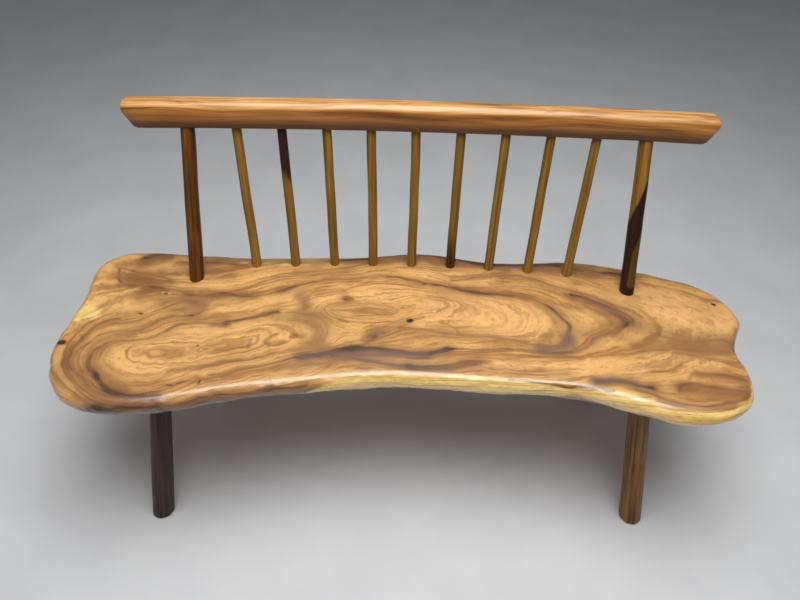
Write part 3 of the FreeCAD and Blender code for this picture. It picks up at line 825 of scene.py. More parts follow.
BROWNS: tuple[Stroke, ...] = (
    # Broad brown wood between the veins.
    shade(32, 0.7, -704, 104, -680, 98, -652, 94),
    shade(30, 0.5, -652, 60, -624, 64, -600, 52),
    shade(34, 1.0, -680, 174, -668, 192, -644, 200),
    vein(22, 0.35, -684, 184, -668, 198, -644, 203),
    shade(26, 0.5, -640, 204, -600, 206, -560, 200, -480, 192),
    shade(26, 0.5, -548, 174, -500, 178, -450, 176),
    shade(34, 0.3, -510, 144, -490, 140, -450, 130),
    shade(36, 0.45, -640, 30, -580, 26, -530, 22, -490, 8),
    shade(30, 0.3, -590, -4, -540, -8, -490, -8),
    shade(26, 0.4, -560, 52, -480, 50, -410, 50, -370, 54),
    shade(24, 0.35, -660, -28, -632, -26),
    shade(34, 0.5, -668, -136, -684, -170, -668, -206, -630, -240, -580, -258),
    shade(22, 0.12, -716, -80, -730, -130, -726, -180, -692, -228, -640, -262),
    shade(30, 0.28, -640, -86, -590, -62, -540, -42, -480, -32),
    shade(14, 1.2, -600, -306, -540, -302, -460, -288, -400, -268, -300, -249, -210, -233,
         -160, -224),
    shade(44, 0.3, -240, -22, -206, -40, -196, -76, -220, -104),
    shade(26, 0.55, -264, 52, -252, 34, -246, 12),
    shade(24, 0.25, -440, -232, -340, -206, -250, -176, -160, -162),
    shade(38, 0.35, -92, -86, -60, -70, 0, -60, 60, -70),
    shade(24, 0.3, 90, -70, 160, -76, 240, -84, 320, -98),
    shade(26, 0.35, 10, 118, 100, 106, 190, 96, 290, 80),
    shade(26, 0.25, 240, 140, 300, 140, 370, 112, 430, 86),
    shade(60, 0.22, 430, 150, 500, 120, 560, 80),
    shade(70, 0.2, 600, 150, 680, 120, 750, 60),
    shade(34, 0.2, 340, 50, 372, 10, 390, -40, 366, -86),
    shade(52, 0.3, 410, 60, 470, 30, 486, -4, 430, -56),
    shade(26, 0.4, 510, 30, 528, 6, 512, -20),
    shade(36, 0.62, 590, -212, 640, -214, 700, -216, 740, -220),
    shade(24, 0.4, 640, -168, 700, -172, 745, -184),
    shade(22, 0.4, 430, -202, 480, -208, 530, -216),
    shade(34, 0.45, 520, -84, 600, -86, 680, -84, 756, -78),
    # Brown along the rear of the seat, partly the wood and partly painted shadow of the rail.
    shade(48, 0.9, -140, 208, -60, 218, 20, 226, 110, 212, 260, 206, 400, 200, 480, 196),
    shade(26, 0.5, 300, 192, 400, 182, 500, 182, 590, 172),
    shade(16, 0.5, 776, -20, 760, -60, 748, -90),
    # Grey-olive wood.
    olive(26, 0.1, -160, 14, -100, 20, -30, 12),
    olive(34, 0.4, -704, 106, -680, 102, -652, 96),
    olive(24, 0.75, -500, 190, -420, 188, -320, 190, -220, 194, -140, 206),
    olive(50, 0.42, 560, -20, 600, -50, 680, -66, 756, -66),
    olive(50, 0.12, 540, 60, 560, 20, 540, -40),
    olive(44, 0.4, -300, -26, -250, -34, -216, -56, -206, -90),
    olive(30, 0.3, -250, -10, -200, -10, -160, -24),
    olive(34, 0.3, 330, 36, 354, 0, 360, -40, 340, -74),
    # Purple-grey wood.
    smoke(24, 0.6, -236, -154, -190, -146, -120, -138, -40, -135, 40, -133),
    smoke(22, 0.4, -130, -152, -60, -160, 20, -172, 90, -168),
    smoke(16, 0.3, -40, -128, 20, -130, 80, -124),
    smoke(24, 0.2, -80, -76, -64, -66),
    smoke(28, 0.5, 380, -66, 360, -92, 310, -106),
    smoke(22, 0.55, 410, -194, 450, -192, 490, -198),
    smoke(12, 0.25, -460, -60, -410, -52),
    smoke(20, 0.35, 440, 70, 490, 40, 516, 4),
    smoke(30, 0.25, -540, 20, -490, 6),
    smoke(24, 0.22, 150, -172, 250, -172, 350, -176),
    smoke(20, 0.22, -240, -188, -150, -176, -60, -184),
)

GOLDS: tuple[Stroke, ...] = (
    # Warm bright wood.
    glow(60, 0.8, -640, -170, -590, -186, -520, -184, -440, -160),
    glow(44, 0.55, -590, -130, -500, -120, -420, -104, -340, -96),
    glow(30, 0.35, -470, -74, -400, -68, -340, -70),
    glow(16, 0.8, -300, -92, -262, -90, -228, -86),
    glow(30, 0.9, -480, -10, -430, 0, -380, 12, -330, 34, -280, 50),
    glow(30, 0.6, -500, 86, -440, 90, -400, 106, -350, 140),
    glow(44, 0.75, -210, 40, -180, 54, -100, 70, -10, 72, 60, 82),
    glow(34, 0.6, -100, 44, 0, 44, 60, 30),
    glow(34, 0.45, -170, -66, -130, -84, -110, -56),
    glow(14, 0.9, -500, -218, -420, -197, -330, -168, -250, -147, -190, -127, -130, -106,
         -60, -96),
    glow(14, 0.5, -270, -196, -230, -186, -180, -184),
    glow(6, 0.9, -190, -146, -130, -146, -60, -147, 10, -152, 80, -146),
    glow(5, 0.8, -60, -156, 0, -160, 70, -158, 120, -146),
    glow(60, 0.7, 80, 30, 150, 50, 240, 40, 300, 10),
    glow(66, 0.8, 60, -10, 150, -20, 230, -30, 300, -30),
    glow(14, 0.6, 100, 126, 160, 122, 220, 130),
    glow(18, 0.5, 20, -90, 90, -88, 160, -92),
    glow(22, 0.7, 200, -154, 300, -150, 400, -148, 480, -136),
    glow(34, 0.9, 400, -164, 470, -148, 550, -132, 620, -128, 690, -136),
    glow(16, 0.6, 540, -112, 600, -112, 650, -118),
    glow(16, 0.6, 560, -190, 600, -184, 650, -186),
    glow(70, 0.7, 620, 30, 680, 16, 730, 0, 760, 10),
    glow(50, 0.35, 590, 120, 640, 110, 700, 80),
    glow(50, 0.7, -770, 24, -720, 14, -660, 0),
    glow(34, 0.85, -776, 60, -784, 120, -772, 160, -736, 186, -706, 190),
    glow(14, 0.5, -770, -190, -740, -240, -690, -278),
    glow(14, 0.5, -700, -94, -712, -150, -700, -200, -668, -236, -620, -264),
    glow(12, 0.6, -742, -90, -760, -150, -744, -206, -700, -254, -640, -284),
    glow(20, 0.5, -20, 166, 80, 160, 180, 168),
    glow(24, 0.5, -670, 152, -620, 150, -570, 138),
    glow(26, 0.7, -760, 110, -742, 84, -724, 60),
    glow(10, 0.8, -290, -155, -240, -138, -180, -122, -120, -107),
    glow(24, 0.3, 410, 10, 440, -10, 400, -36),
    glow(10, 0.4, -690, -84, -650, -76, -620, -70),
)

SAPWOOD: tuple[Stroke, ...] = (
    sap(34, 0.85, -796, -10, -768, -20, -735, -32, -708, -36),
    sap(24, 0.65, -790, -44, -764, -52, -744, -56),
    sap(12, 0.85, -801, 150, -798, 90, -794, 20, -788, -60, -790, -100),
    sap(9, 0.6, -790, -150, -776, -205, -744, -256, -694, -290, -640, -301),
    sap(11, 0.5, -440, 214, -350, 213, -250, 213, -150, 224),
    sap(7, 0.4, -386, 174, -320, 176, -250, 182),
    sap(14.5, 1.1, 430, 234, 500, 226, 570, 209, 650, 189, 730, 153, 784, 104, 803, 50),
    # The front edge: narrow in the middle, broad round the right lobe.
    sap(12, 1.1, -180, -232, -120, -214, -60, -200, 0, -196, 90, -198, 180, -204, 260, -212),
    sap(14.5, 1.3, -150, -216, -100, -209, -19, -202, 90, -206, 200, -211, 300, -213, 380, -221,
         440, -238, 500, -259, 550, -274, 605, -281, 650, -277, 691, -264, 730, -238, 750, -206,
         758, -170),
    sap(28, 1.25, 390, -226, 450, -242, 500, -260, 550, -275, 605, -283, 650, -280, 700, -264,
         742, -236, 768, -200),
    knot(6.5, 0.64, 210, -196, 290, -202, 340, -205, 400, -211, 450, -225),
)

KNOTS: tuple[Stroke, ...] = (
    knot(15, 0.95, -776, -131, -772, -131),
    knot(5.5, 0.7, -636, -24, -626, -27),
    knot(5, 0.9, -595, 48, -586, 48),
    sap(10, 0.5, -602, 49, -580, 49),
    knot(4.5, 0.75, -470, -129, -467, -123),
    knot(5, 0.75, -500, -240, -488, -241),
    knot(5.5, 0.8, -434, -238, -433, -232),
    shade(19, 0.8, -151, 52, -147, 52),
    vein(5, 0.5, -156, 50, -152, 44, -145, 44),
    knot(10, 0.85, 3, -21, 8, -20),
    vein(5, 0.4, 10, -20, 30, -12, 49, -4),
    knot(10, 0.85, 754, 70, 758, 68),
    knot(5, 0.7, 772, -38, 770, -30),
    knot(4.5, 0.5, 637, 33, 641, 33),
    vein(10, 0.35, 424, 132, 436, 128),
    knot(4, 0.6, -293, -214, -286, -235, -285, -258),
)

REAR_EDGE: tuple[Stroke, ...] = (
    # Dark layers that the rear edge cuts through; along the rim they are partly painted shadow of
    # the rail and spindles.
    vein(10, 0.85, -190, 205, -140, 211, -91, 218, -30, 234, 24, 241, 70, 238, 120, 229, 165, 216,
         210, 207, 260, 205, 320, 207, 380, 213, 440, 219),
    vein(14, 0.75, 40, 238, 90, 232, 130, 222, 165, 211, 210, 202, 260, 199, 320, 202, 380, 208,
         450, 212),
    shade(16, 0.4, 200, 200, 250, 196, 300, 198, 360, 202, 420, 202),
    vein(14, 0.5, 420, 198, 462, 190, 510, 182, 560, 171, 590, 164),
    shade(28, 0.4, 440, 180, 500, 176, 560, 164),
    # Mottled wood in the rear left corner.
    shade(14, 0.6, -690, 96, -640, 90, -604, 92, -566, 90),
    shade(14, 0.4, -672, 62, -640, 64, -606, 56, -574, 58),
    vein(4, 0.4, -700, 112, -664, 106, -626, 98, -596, 92),
    vein(4, 0.45, -690, 90, -650, 84, -612, 84, -580, 84),
    shade(14, 0.5, -636, 204, -624, 186, -612, 168),
    shade(36, 0.16, -700, 152, -650, 150, -600, 144),
    shade(36, 0.2, -350, 158, -300, 162, -240, 166),
)


def neighbours(height: np.ndarray) -> np.ndarray:
    """Add up each cell's four neighbours; a cell at the rim counts itself there."""
    padded = np.pad(height, 1, mode="edge")
    return padded[:-2, 1:-1] + padded[2:, 1:-1] + padded[1:-1, :-2] + padded[1:-1, 2:]


def nearest(places: np.ndarray, path: np.ndarray) -> tuple[np.ndarray, np.ndarray]:
    """Measure how far places are from a path.

    Args:
        places: Rows of x and y.
        path: Rows of x and y along the path.

    Returns:
        The distance, and how far along the path the nearest point is, from 0 to 1.
    """
    best = np.full(len(places), np.inf)
    share = np.zeros(len(places))
    for i in range(len(path) - 1):
        start, run = path[i], path[i + 1] - path[i]
        along = np.clip((places - start) @ run / max(float(run @ run), 1e-9), 0, 1)
        gap = np.hypot(*(places - start - along[:, None] * run).T)
        closer = gap < best
        best[closer] = gap[closer]
        share[closer] = (i + along[closer]) / (len(path) - 1)
    return best, share


@dataclass
class Figure:
    """The slab's growth lines and marks, worked out from the strokes. Sizes in mm.

    The levels settle over a grid of cells like a sheet held along the strokes.
    """

    strokes: tuple[Stroke, ...] = (
        *LEFT_EYE, *REAR_LEFT, *REAR_MIDDLE, *SECOND_EYE, *FRONT_MIDDLE, *RIGHT, *BROWNS,
        *GOLDS, *SAPWOOD, *KNOTS, *REAR_EDGE,
    )
    half_length: float = 868.0
    half_depth: float = 340.0
    cell: float = 4.0
    rim_level: float = 262.0
    free_level: float = 120.0
    hollow: float = 0.0004
    softenings: int = 14
    sweeps: int = 700
    pace: float = 1.96
    first_seed: int = 100
    unevenness: float = 0.28
    uneven_length: float = 70.0
    core_share: float = 0.62
    short_length: float = 40.0
    halo_width: float = 11.0
    halo_depth: float = 0.30
    broad_width: float = 15.0

    def levels(self) -> np.ndarray:
        """Relax the growth lines between the strokes that lead them.

        Returns:
            The level in mm at each cell, by row from the front and column from the left.
        """
        columns = int(2 * self.half_length / self.cell) + 1
        rows = int(2 * self.half_depth / self.cell) + 1
        total, hits = np.zeros((rows, columns)), np.zeros((rows, columns))
        for stroke in self.strokes:
            if stroke.level is None:
                continue
            path = stroke.path(2.0)
            share = np.linspace(0, 1, len(path))
            value = stroke.level[0] + (stroke.level[1] - stroke.level[0]) * share
            col = np.rint((path[:, 0] + self.half_length) / self.cell).astype(int)
            row = np.rint((path[:, 1] + self.half_depth) / self.cell).astype(int)
            inside = (col >= 0) & (col < columns) & (row >= 0) & (row < rows)
            np.add.at(total, (row[inside], col[inside]), value[inside])
            np.add.at(hits, (row[inside], col[inside]), 1)
        total[[0, -1]], hits[[0, -1]] = self.rim_level, 1
        fixed = hits > 0
        height = np.where(fixed, total / np.maximum(hits, 1), self.free_level)
        return self._settled(height, fixed)

    def _settled(self, height: np.ndarray, fixed: np.ndarray) -> np.ndarray:
        """Let every free cell settle between its neighbours, then round off the creases.

        Args:
            height: Levels to start from.
            fixed: Where the level stays while the others settle.

        Returns:
            The settled levels.
        """
        row, col = np.indices(height.shape)
        dip = self.hollow * self.cell**2
        for _ in range(self.sweeps):
            for turn in (0, 1):
                mean = neighbours(height) / 4 - dip
                free = ~fixed & ((row + col) % 2 == turn)
                height = np.where(free, height + self.pace * (mean - height), height)
        for _ in range(self.softenings):
            height = (4 * height + neighbours(height)) / 8
        return height

    def level_at(self, places: np.ndarray) -> np.ndarray:
        """Read the level in mm at places, given as rows of x and y in mm."""
        table = self.levels()
        col = np.clip((places[:, 0] + self.half_length) / self.cell, 0, table.shape[1] - 1.001)
        row = np.clip((places[:, 1] + self.half_depth) / self.cell, 0, table.shape[0] - 1.001)
        c, r = col.astype(int), row.astype(int)
        u, v = col - c, row - r
        near = table[r, c] * (1 - u) + table[r, c + 1] * u
        far = table[r + 1, c] * (1 - u) + table[r + 1, c + 1] * u
        return near * (1 - v) + far * v

    def marks(self, places: np.ndarray) -> dict[Mark, np.ndarray]:
        """Lay every stroke on the slab.

        Args:
            places: Rows of x and y in mm.

        Returns:
            How strongly each mark shows at each place, from 0 to 1.
        """
        shown = {mark: np.zeros(len(places)) for mark in Mark}
        for seed, stroke in enumerate(self.strokes, self.first_seed):
            if stroke.depth <= 0:
                continue
            path = stroke.path(6.0)
            reach = 3 * (stroke.width + self.halo_width)
            low, high = path.min(axis=0) - reach, path.max(axis=0) + reach
            near = np.nonzero(((places > low) & (places < high)).all(axis=1))[0]
            if not len(near):
                continue
            distance, share = nearest(places[near], path)
            swell = 1 + self.unevenness * ripple(places[near], self.uneven_length, seed)
            profile = np.exp(-((distance / (self.core_share * stroke.width * swell)) ** 2))
            length = float(np.hypot(*np.diff(path, axis=0).T).sum())
            taper = min(0.45, 1.6 * stroke.width / max(length, 1.0))
            ends = smooth_step(0, taper, share) * smooth_step(0, taper, 1 - share)
            broad = stroke.width >= self.broad_width and stroke.mark is not Mark.SAP
            if length < self.short_length or broad:
                ends = np.ones(len(near))
            laid = [(stroke.mark, np.minimum(stroke.depth * profile, 1.0) * ends)]
            if stroke.mark is Mark.VEIN:
                halo = np.exp(-((distance / (self.halo_width + stroke.width)) ** 2))
                laid.append((Mark.SHADE, self.halo_depth * stroke.depth * halo * ends))
            for mark, strength in laid:
                shown[mark][near] += (1 - shown[mark][near]) * strength
        return shown


# --------------------------------------------------------------------------
# Pieces
# --------------------------------------------------------------------------


@dataclass
class Seat:
    """The live-edge slab. Sizes in mm; the outline is in shares of length and depth."""

    length: float = 1618.0
    depth: float = 560.0
    thickness: float = 50.0
    height: float = 450.0
    edge_round: float = 24.0
    under_round: float = 26.0
    top_round_share: float = 0.45
    under_round_share: float = 0.50
    round_steps: int = 7
    outline_corners: int = 720
    voxel: float = 3.6
    under_kept: float = 0.12
    under_reach: float = 0.3
    edge_depth: float = 1.0
    edge_waves: tuple[Wave, ...] = ((1.0, 22.0, 3), (0.45, 9.0, 4))
    edge_stretch: Place = (0.35, 0.35, 1.0)
    figure_warp: tuple[Wave, ...] = ((2.4, 95.0, 5), (0.9, 34.0, 7))
    line_climb: float = 1.5
    edge_slant: float = 2.0
    slant_start: float = 12.0
    glow_waves: tuple[Wave, ...] = ((2.2, 24.0, 9),)
    # Each point of the outline with how far its top edge is rounded.
    outline: tuple[Place, ...] = (
        (-0.495, 0.288, 1.0), (-0.472, 0.368, 1.0), (-0.427, 0.397, 0.9), (-0.346, 0.390, 0.9),
        (-0.260, 0.381, 0.9), (-0.148, 0.398, 0.9), (-0.056, 0.423, 1.1), (0.015, 0.463, 1.5),
        (0.074, 0.439, 1.3), (0.130, 0.404, 1.0), (0.198, 0.406, 0.9), (0.266, 0.422, 0.9),
        (0.328, 0.397, 1.0), (0.414, 0.323, 1.0), (0.469, 0.239, 1.0), (0.492, 0.143, 1.0),
        (0.497, 0.027, 0.9), (0.472, -0.107, 0.7), (0.467, -0.196, 0.7), (0.470, -0.277, 0.9),
        (0.460, -0.386, 1.4), (0.427, -0.471, 1.8), (0.374, -0.502, 1.8), (0.309, -0.462, 1.3),
        (0.235, -0.395, 1.0), (0.124, -0.377, 0.9), (-0.012, -0.361, 0.9), (-0.117, -0.396, 1.0),
        (-0.247, -0.466, 1.1), (-0.328, -0.527, 1.2), (-0.389, -0.536, 1.2), (-0.441, -0.491, 1.2),
        (-0.475, -0.378, 1.1), (-0.490, -0.232, 1.0), (-0.489, -0.071, 0.8), (-0.492, 0.125, 0.9),
    )
    figure: Figure = field(default_factory=Figure)

    def build(self) -> None:
        """Model the slab, store its figure, and dress it."""
        rings = self._rings()
        slab = rod("seat_slab_live_edge", len(rings), self.outline_corners)
        shape_rod(slab, rings)
        apply_modifier(slab, "REMESH", mode="VOXEL", voxel_size=self.voxel * MM)
        self._thin_underside(slab)
        apply_modifier(slab, "SMOOTH", factor=0.5, iterations=3)
        self._wander_edges(slab)
        self._store_figure(slab)
        round_off(slab, 60.0)
        install(slab, "seat_slab", "seat", FiguredSlab().material())

    def _rings(self) -> np.ndarray:
        """Draw the outline at each height, from the underside up to the top.

        Returns:
            Places in mm as ring, corner, x y z.
        """
        size = np.array([self.length, self.depth, 1.0])
        curve = even(through(np.array(self.outline) * size, True, 2.0), self.outline_corners)
        around = np.roll(curve, -1, axis=0) - np.roll(curve, 1, axis=0)
        inward = np.column_stack([around[:, 1], -around[:, 0]])
        inward /= np.linalg.norm(inward, axis=1)[:, None]
        share = curve[:, 2]
        floor = self.height - self.thickness
        low_rise = self.under_round_share * self.thickness
        top_rise = self.top_round_share * self.thickness
        angles = [math.pi / 2 * i / self.round_steps for i in range(self.round_steps + 1)]
        rings = []
        for angle in angles:
            inset = self.under_round * (1 - math.sin(angle)) * np.ones_like(share)
            rings.append((inset, floor + low_rise * (1 - math.cos(angle))))
        for angle in angles:
            inset = self.edge_round * share * (1 - math.cos(angle))
            rings.append((inset, self.height - top_rise + top_rise * math.sin(angle)))
        return np.array(
            [
                np.column_stack([curve[:, :2] + inward * inset[:, None], np.full(len(curve), z)])
                for inset, z in rings
            ]
        )

    def _thin_underside(self, slab: bpy.types.Object) -> None:
        """Leave fewer faces on the flat underside, where nothing is seen from near."""
        level = rows_of(slab.data.polygons, "center")[:, 2]
        low = (self.height - self.thickness) * MM
        pick(slab, "FACE", level < low + self.under_reach * MM)
        with edit_mode(slab, "FACE"):
            bpy.ops.mesh.decimate(ratio=self.under_kept)

    def _wander_edges(self, slab: bpy.types.Object) -> None:
        """Give the live edge the small hollows and ridges that the bark left."""
        places, normals = corners_of(slab), rows_of(slab.data.vertices, "normal")
        aside = smooth_step(0.25, 0.8, np.hypot(normals[:, 0], normals[:, 1]))
        depth = ripples(places / MM * np.array(self.edge_stretch), self.edge_waves)
        shift = (aside * (depth - self.edge_depth) * MM)[:, None] * normals
        set_corners(slab, places + shift)

    def _outward(self, slab: bpy.types.Object, drop: np.ndarray) -> np.ndarray:
        """Say which place of the plan shows at each vertex of the edge.

        The rounded underside shows what is at the outline, and on the front and rear
        edges the figure slants down to the left.

        Args:
            slab: The slab.
            drop: Each vertex's distance below the top, in mm.

        Returns:
            Rows of x and y in mm to add to each vertex's own place.
        """
        flat = rows_of(slab.data.vertices, "normal")[:, :2]
        rise = self.under_round_share * self.thickness
        below = np.clip((drop - (self.thickness - rise)) / rise, 0, 1)
        inset = self.under_round * (1 - np.sqrt(1 - below**2))
        reach = np.hypot(flat[:, 0], flat[:, 1])
        share = smooth_step(0.1, 0.4, reach) / np.maximum(reach, 1e-6)
        shift = flat * (share * inset)[:, None]
        slanted = self.edge_slant * np.maximum(drop - self.slant_start, 0)
        shift[:, 0] += slanted * np.abs(flat[:, 1]) * share
        return shift

    def _store_figure(self, slab: bpy.types.Object) -> None:
        """Store growth lines and marks in the mesh, for the finish to read."""
        places = corners_of(slab) / MM
        plan = places[:, :2]
        warp = np.column_stack([ripples(plan, self.figure_warp, i) for i in (0, 1)])
        drop = self.height - places[:, 2]
        plan = plan + self._outward(slab, drop) + warp
        shown = self.figure.marks(plan)
        ring = self.figure.level_at(plan) + self.line_climb * drop
        # Bright wood is cut flat to its growth lines, so they show as small waves there.
        ring += shown[Mark.GLOW] * ripples(plan, self.glow_waves)
        # Painted shade: the edge and its sapwood turn browner towards the underside, where shade
        # falls.
        low = smooth_step(24, 44, drop)
        shown[Mark.SHADE] += (1 - shown[Mark.SHADE]) * 0.55 * low
        shown[Mark.SAP] *= 1 - 0.5 * low
        on_top = 1 - 0.35 * smooth_step(14, 40, drop)
        for mark in (Mark.VEIN, Mark.OLIVE, Mark.KNOT, Mark.SMOKE):
            shown[mark] *= on_top
        keep(slab, "figure", ring * MM, shown[Mark.VEIN], shown[Mark.SAP])
        keep(slab, "tint", shown[Mark.OLIVE], shown[Mark.GLOW], shown[Mark.KNOT])
        keep(slab, "tone", shown[Mark.SHADE], shown[Mark.SMOKE], np.zeros_like(drop))


def dark_top(places: np.ndarray) -> np.ndarray:
    """Near-black heartwood in a spindle's top third, with a slanted lower boundary."""
    return smooth_step(-60, 40, places[:, 2] - 676 + 1.2 * places[:, 0])


def dark_foot(places: np.ndarray) -> np.ndarray:
    """Brown heartwood all along a spindle, darkest at its foot."""
    return 0.35 + 0.3 * smooth_step(-60, 60, 520 - places[:, 2])


def flame(places: np.ndarray) -> np.ndarray:
    """Near-black flame across a post's middle, with brown wood rising from the foot."""
    upper = np.interp(places[:, 2], (585, 640, 716, 750), (-24, -15, 10, 24))
    lower = np.interp(places[:, 2], (480, 550, 590, 620), (-12, -8, 6, 24))
    dark = smooth_step(-5, 5, places[:, 0] - upper)
    brown = smooth_step(-6, 6, places[:, 0] - lower)
    foot = 0.8 * smooth_step(0, 26, 486 - places[:, 2])
    return np.maximum(dark * (1 - 0.5 * brown), foot)


# Each gives the dark share at rows of x from the foot, cross and height, in mm.
STAINS: dict[str, Stain] = {"spindle_2": dark_top, "spindle_6": dark_foot, "post_right": flame}


@dataclass
class StickLine:
    """One straight stick between two points, in mm."""

    node: str
    foot: Place
    head: Place
    foot_diameter: float
    head_diameter: float
    sway: float = 0.45
    swell: float = 0.012

    def axes(self) -> np.ndarray:
        """Give the stick's own directions as rows 1 long: aside, ahead and along it."""
        run = np.subtract(self.head, self.foot)
        along = run / np.linalg.norm(run)
        aside = np.cross(along, [0.0, 1.0, 0.0])
        aside /= np.linalg.norm(aside)
        return np.array([aside, np.cross(along, aside), along])

    def buried(self, depth: float) -> StickLine:
        """Run both ends a little way into what holds them."""
        reach = self.axes()[2] * depth
        foot, head = np.subtract(self.foot, reach), np.add(self.head, reach)
        return replace(self, foot=tuple(foot), head=tuple(head))

    def rings(self, stations: int, sides: int, flats: float, seed: int) -> np.ndarray:
        """Lay the rings of the stick along its line.

        Args:
            stations: Rings along it.
            sides: Corners a ring.
            flats: How far the eight shaved flats cut in, as a share of the radius.
            seed: Which small irregularities it has.

        Returns:
            Places in mm as ring, corner, x y z.
        """
        foot, head = np.array(self.foot), np.array(self.head)
        aside, ahead, _ = self.axes()
        turn = np.arange(sides) / sides * TURN
        grid = np.column_stack([np.linspace(0, 6, stations), np.zeros(stations)])
        sway_a, sway_b = (ripple(grid, 3.0, seed + i) * self.sway for i in (0, 1))
        swell = 1 + self.swell * ripple(grid, 2.0, seed + 2)
        flat = 1 - flats * (0.5 - 0.5 * np.cos(8 * turn + 0.3 * seed))
        rings = np.empty((stations, sides, 3))
        for i, share in enumerate(np.linspace(0, 1, stations)):
            width = self.foot_diameter * (1 - share) + self.head_diameter * share
            edge = width / 2 * swell[i] * flat
            middle = foot + (head - foot) * share + aside * sway_a[i] + ahead * sway_b[i]
            rings[i] = middle + np.outer(np.cos(turn) * edge, aside)
            rings[i] += np.outer(np.sin(turn) * edge, ahead)
        return rings

    def store_grain(self, piece: bpy.types.Object, seed: int) -> None:
        """Store the stick's grain direction and dark marks in its mesh.

        Args:
            piece: The stick.
            seed: Which part of the wood it was cut from.
        """
        places = corners_of(piece) / MM
        local = (places - self.foot) @ self.axes().T
        shift = np.random.default_rng(seed).uniform(-2000, 2000, 3)
        keep(piece, "grain", *((local + shift) * MM).T)
        dark = none = np.zeros(len(places))
        if self.node in STAINS:
            seen = np.column_stack([places[:, 0] - self.foot[0], local[:, 1], places[:, 2]])
            dark = STAINS[self.node](seen)
        keep(piece, "mark", dark, none, none)


class StickTone(Enum):
    """Which wood a stick was shaved from."""

    # Golden-olive spindle wood, partly drawn darker as painted shade under the rail.
    GOLDEN = StickWood(
        "acacia_spindle_golden_lacquer", pale="#A27A38", middle="#886426", deep="#6C4C1A",
        stain_and_shade="#2E1506",
    )
    RED_BROWN = StickWood(
        "acacia_post_red_brown_lacquer", pale="#7A4A18", middle="#58320C", deep="#361C05",
        streaks=(9.0, 220.0),
    )
    FLAMED = StickWood(
        "acacia_post_flamed_lacquer", pale="#A0752F", middle="#7C5620", deep="#56370F",
        stain_and_shade="#240D03", streaks=(9.0, 220.0),
    )
    # The rail's darkest colour lies on its lower front: partly its wood, partly painted shade.
    RAIL = StickWood(
        "acacia_rail_streaked_lacquer", pale="#C98C45", middle="#A56927", deep="#744211",
        stain_and_shade="#54300C", streaks=(15.0, 330.0), lines=(2.8, 120.0), roughness=0.36, coat=0.5,
    )
    LEG_DARK = StickWood(
        "acacia_leg_dark_lacquer", pale="#54301A", middle="#331C0D", deep="#1A0C04",
        streaks=(11.0, 320.0), roughness=0.44, coat=0.05,
    )
    LEG_BROWN = StickWood(
        "acacia_leg_brown_lacquer", pale="#9E7030", middle="#785016", deep="#4A2C0A",
        streaks=(11.0, 320.0), roughness=0.44, coat=0.05,
    )


@dataclass(frozen=True)
class Bow:
    """The bowed middle line of the rail. Sizes in mm."""

    centre: float = 8.5
    line: float = 277.3
    radius: float = 10400.0

    def at(self, across: np.ndarray | float) -> np.ndarray:
        """Give the line's y at a distance along x from its centre."""
        return self.line - (self.radius - np.sqrt(self.radius**2 - across**2))


@dataclass
class Back:
    """Spindles and end posts. Sizes in mm."""

    bow: Bow = Bow()
    seat_height: float = 450.0
    rail_under: float = 790.0
    buried: float = 12.0
    spindle_count: int = 9
    foot_spacing: float = 100.5
    head_spacing: float = 106.0
    foot_line: float = 193.3
    foot_sweep: float = 22.0
    stick_lead: float = 5.0
    spindle_diameters: Point = (24.0, 22.5)
    spindle_flats: float = 0.02
    # Each end of a post is its distance from the middle, then its y.
    post_foot: Point = (542.0, 111.3)
    post_head: Point = (537.0, 258.4)
    post_diameters: Point = (36.0, 33.0)
    post_flats: float = 0.015
    stations: int = 64
    sides: int = 40

    def spindle_line(self, number: int) -> StickLine:
        """Place one spindle, counted from the left."""
        half = (self.spindle_count - 1) / 2
        place = number - 1 - half
        across = place * self.head_spacing
        foot_y = self.foot_line - self.foot_sweep * (place / half) ** 2
        head_y = float(self.bow.at(across)) - self.stick_lead
        foot = (self.bow.centre + place * self.foot_spacing, foot_y, self.seat_height)
        head = (self.bow.centre + across, head_y, self.rail_under)
        return StickLine(f"spindle_{number}", foot, head, *self.spindle_diameters)

    def post_line(self, side: int) -> StickLine:
        """Place one end post: side -1 is left, 1 is right."""
        (foot_x, foot_y), (head_x, head_y) = self.post_foot, self.post_head
        foot = (self.bow.centre + side * foot_x, foot_y, self.seat_height)
        head = (self.bow.centre + side * head_x, head_y, self.rail_under)
        node = "post_left" if side < 0 else "post_right"
        return StickLine(node, foot, head, *self.post_diameters)

    def build(self) -> None:
        """Model one stick, copy it for each place, and dress the copies."""
        model = rod("stick_model", self.stations, self.sides)
        golden = StickTone.GOLDEN.value.material()
        red_brown = StickTone.RED_BROWN.value.material()
        flamed = StickTone.FLAMED.value.material()
        sticks = [
            (self.spindle_line(number), 10 * number, self.spindle_flats, "spindle", golden)
            for number in range(1, self.spindle_count + 1)
        ]
        sticks.append((self.post_line(-1), 200, self.post_flats, "post", red_brown))
        sticks.append((self.post_line(1), 210, self.post_flats, "post", flamed))
        for line, seed, flats, slot, finish in sticks:
            line = line.buried(self.buried)
            stick = copy_of(model, line.node + "_shaved")
            shape_rod(stick, line.rings(self.stations, self.sides, flats, seed))
            line.store_grain(stick, seed)
            round_off(stick, 50.0)
            install(stick, line.node, slot, finish)
        discard(model)


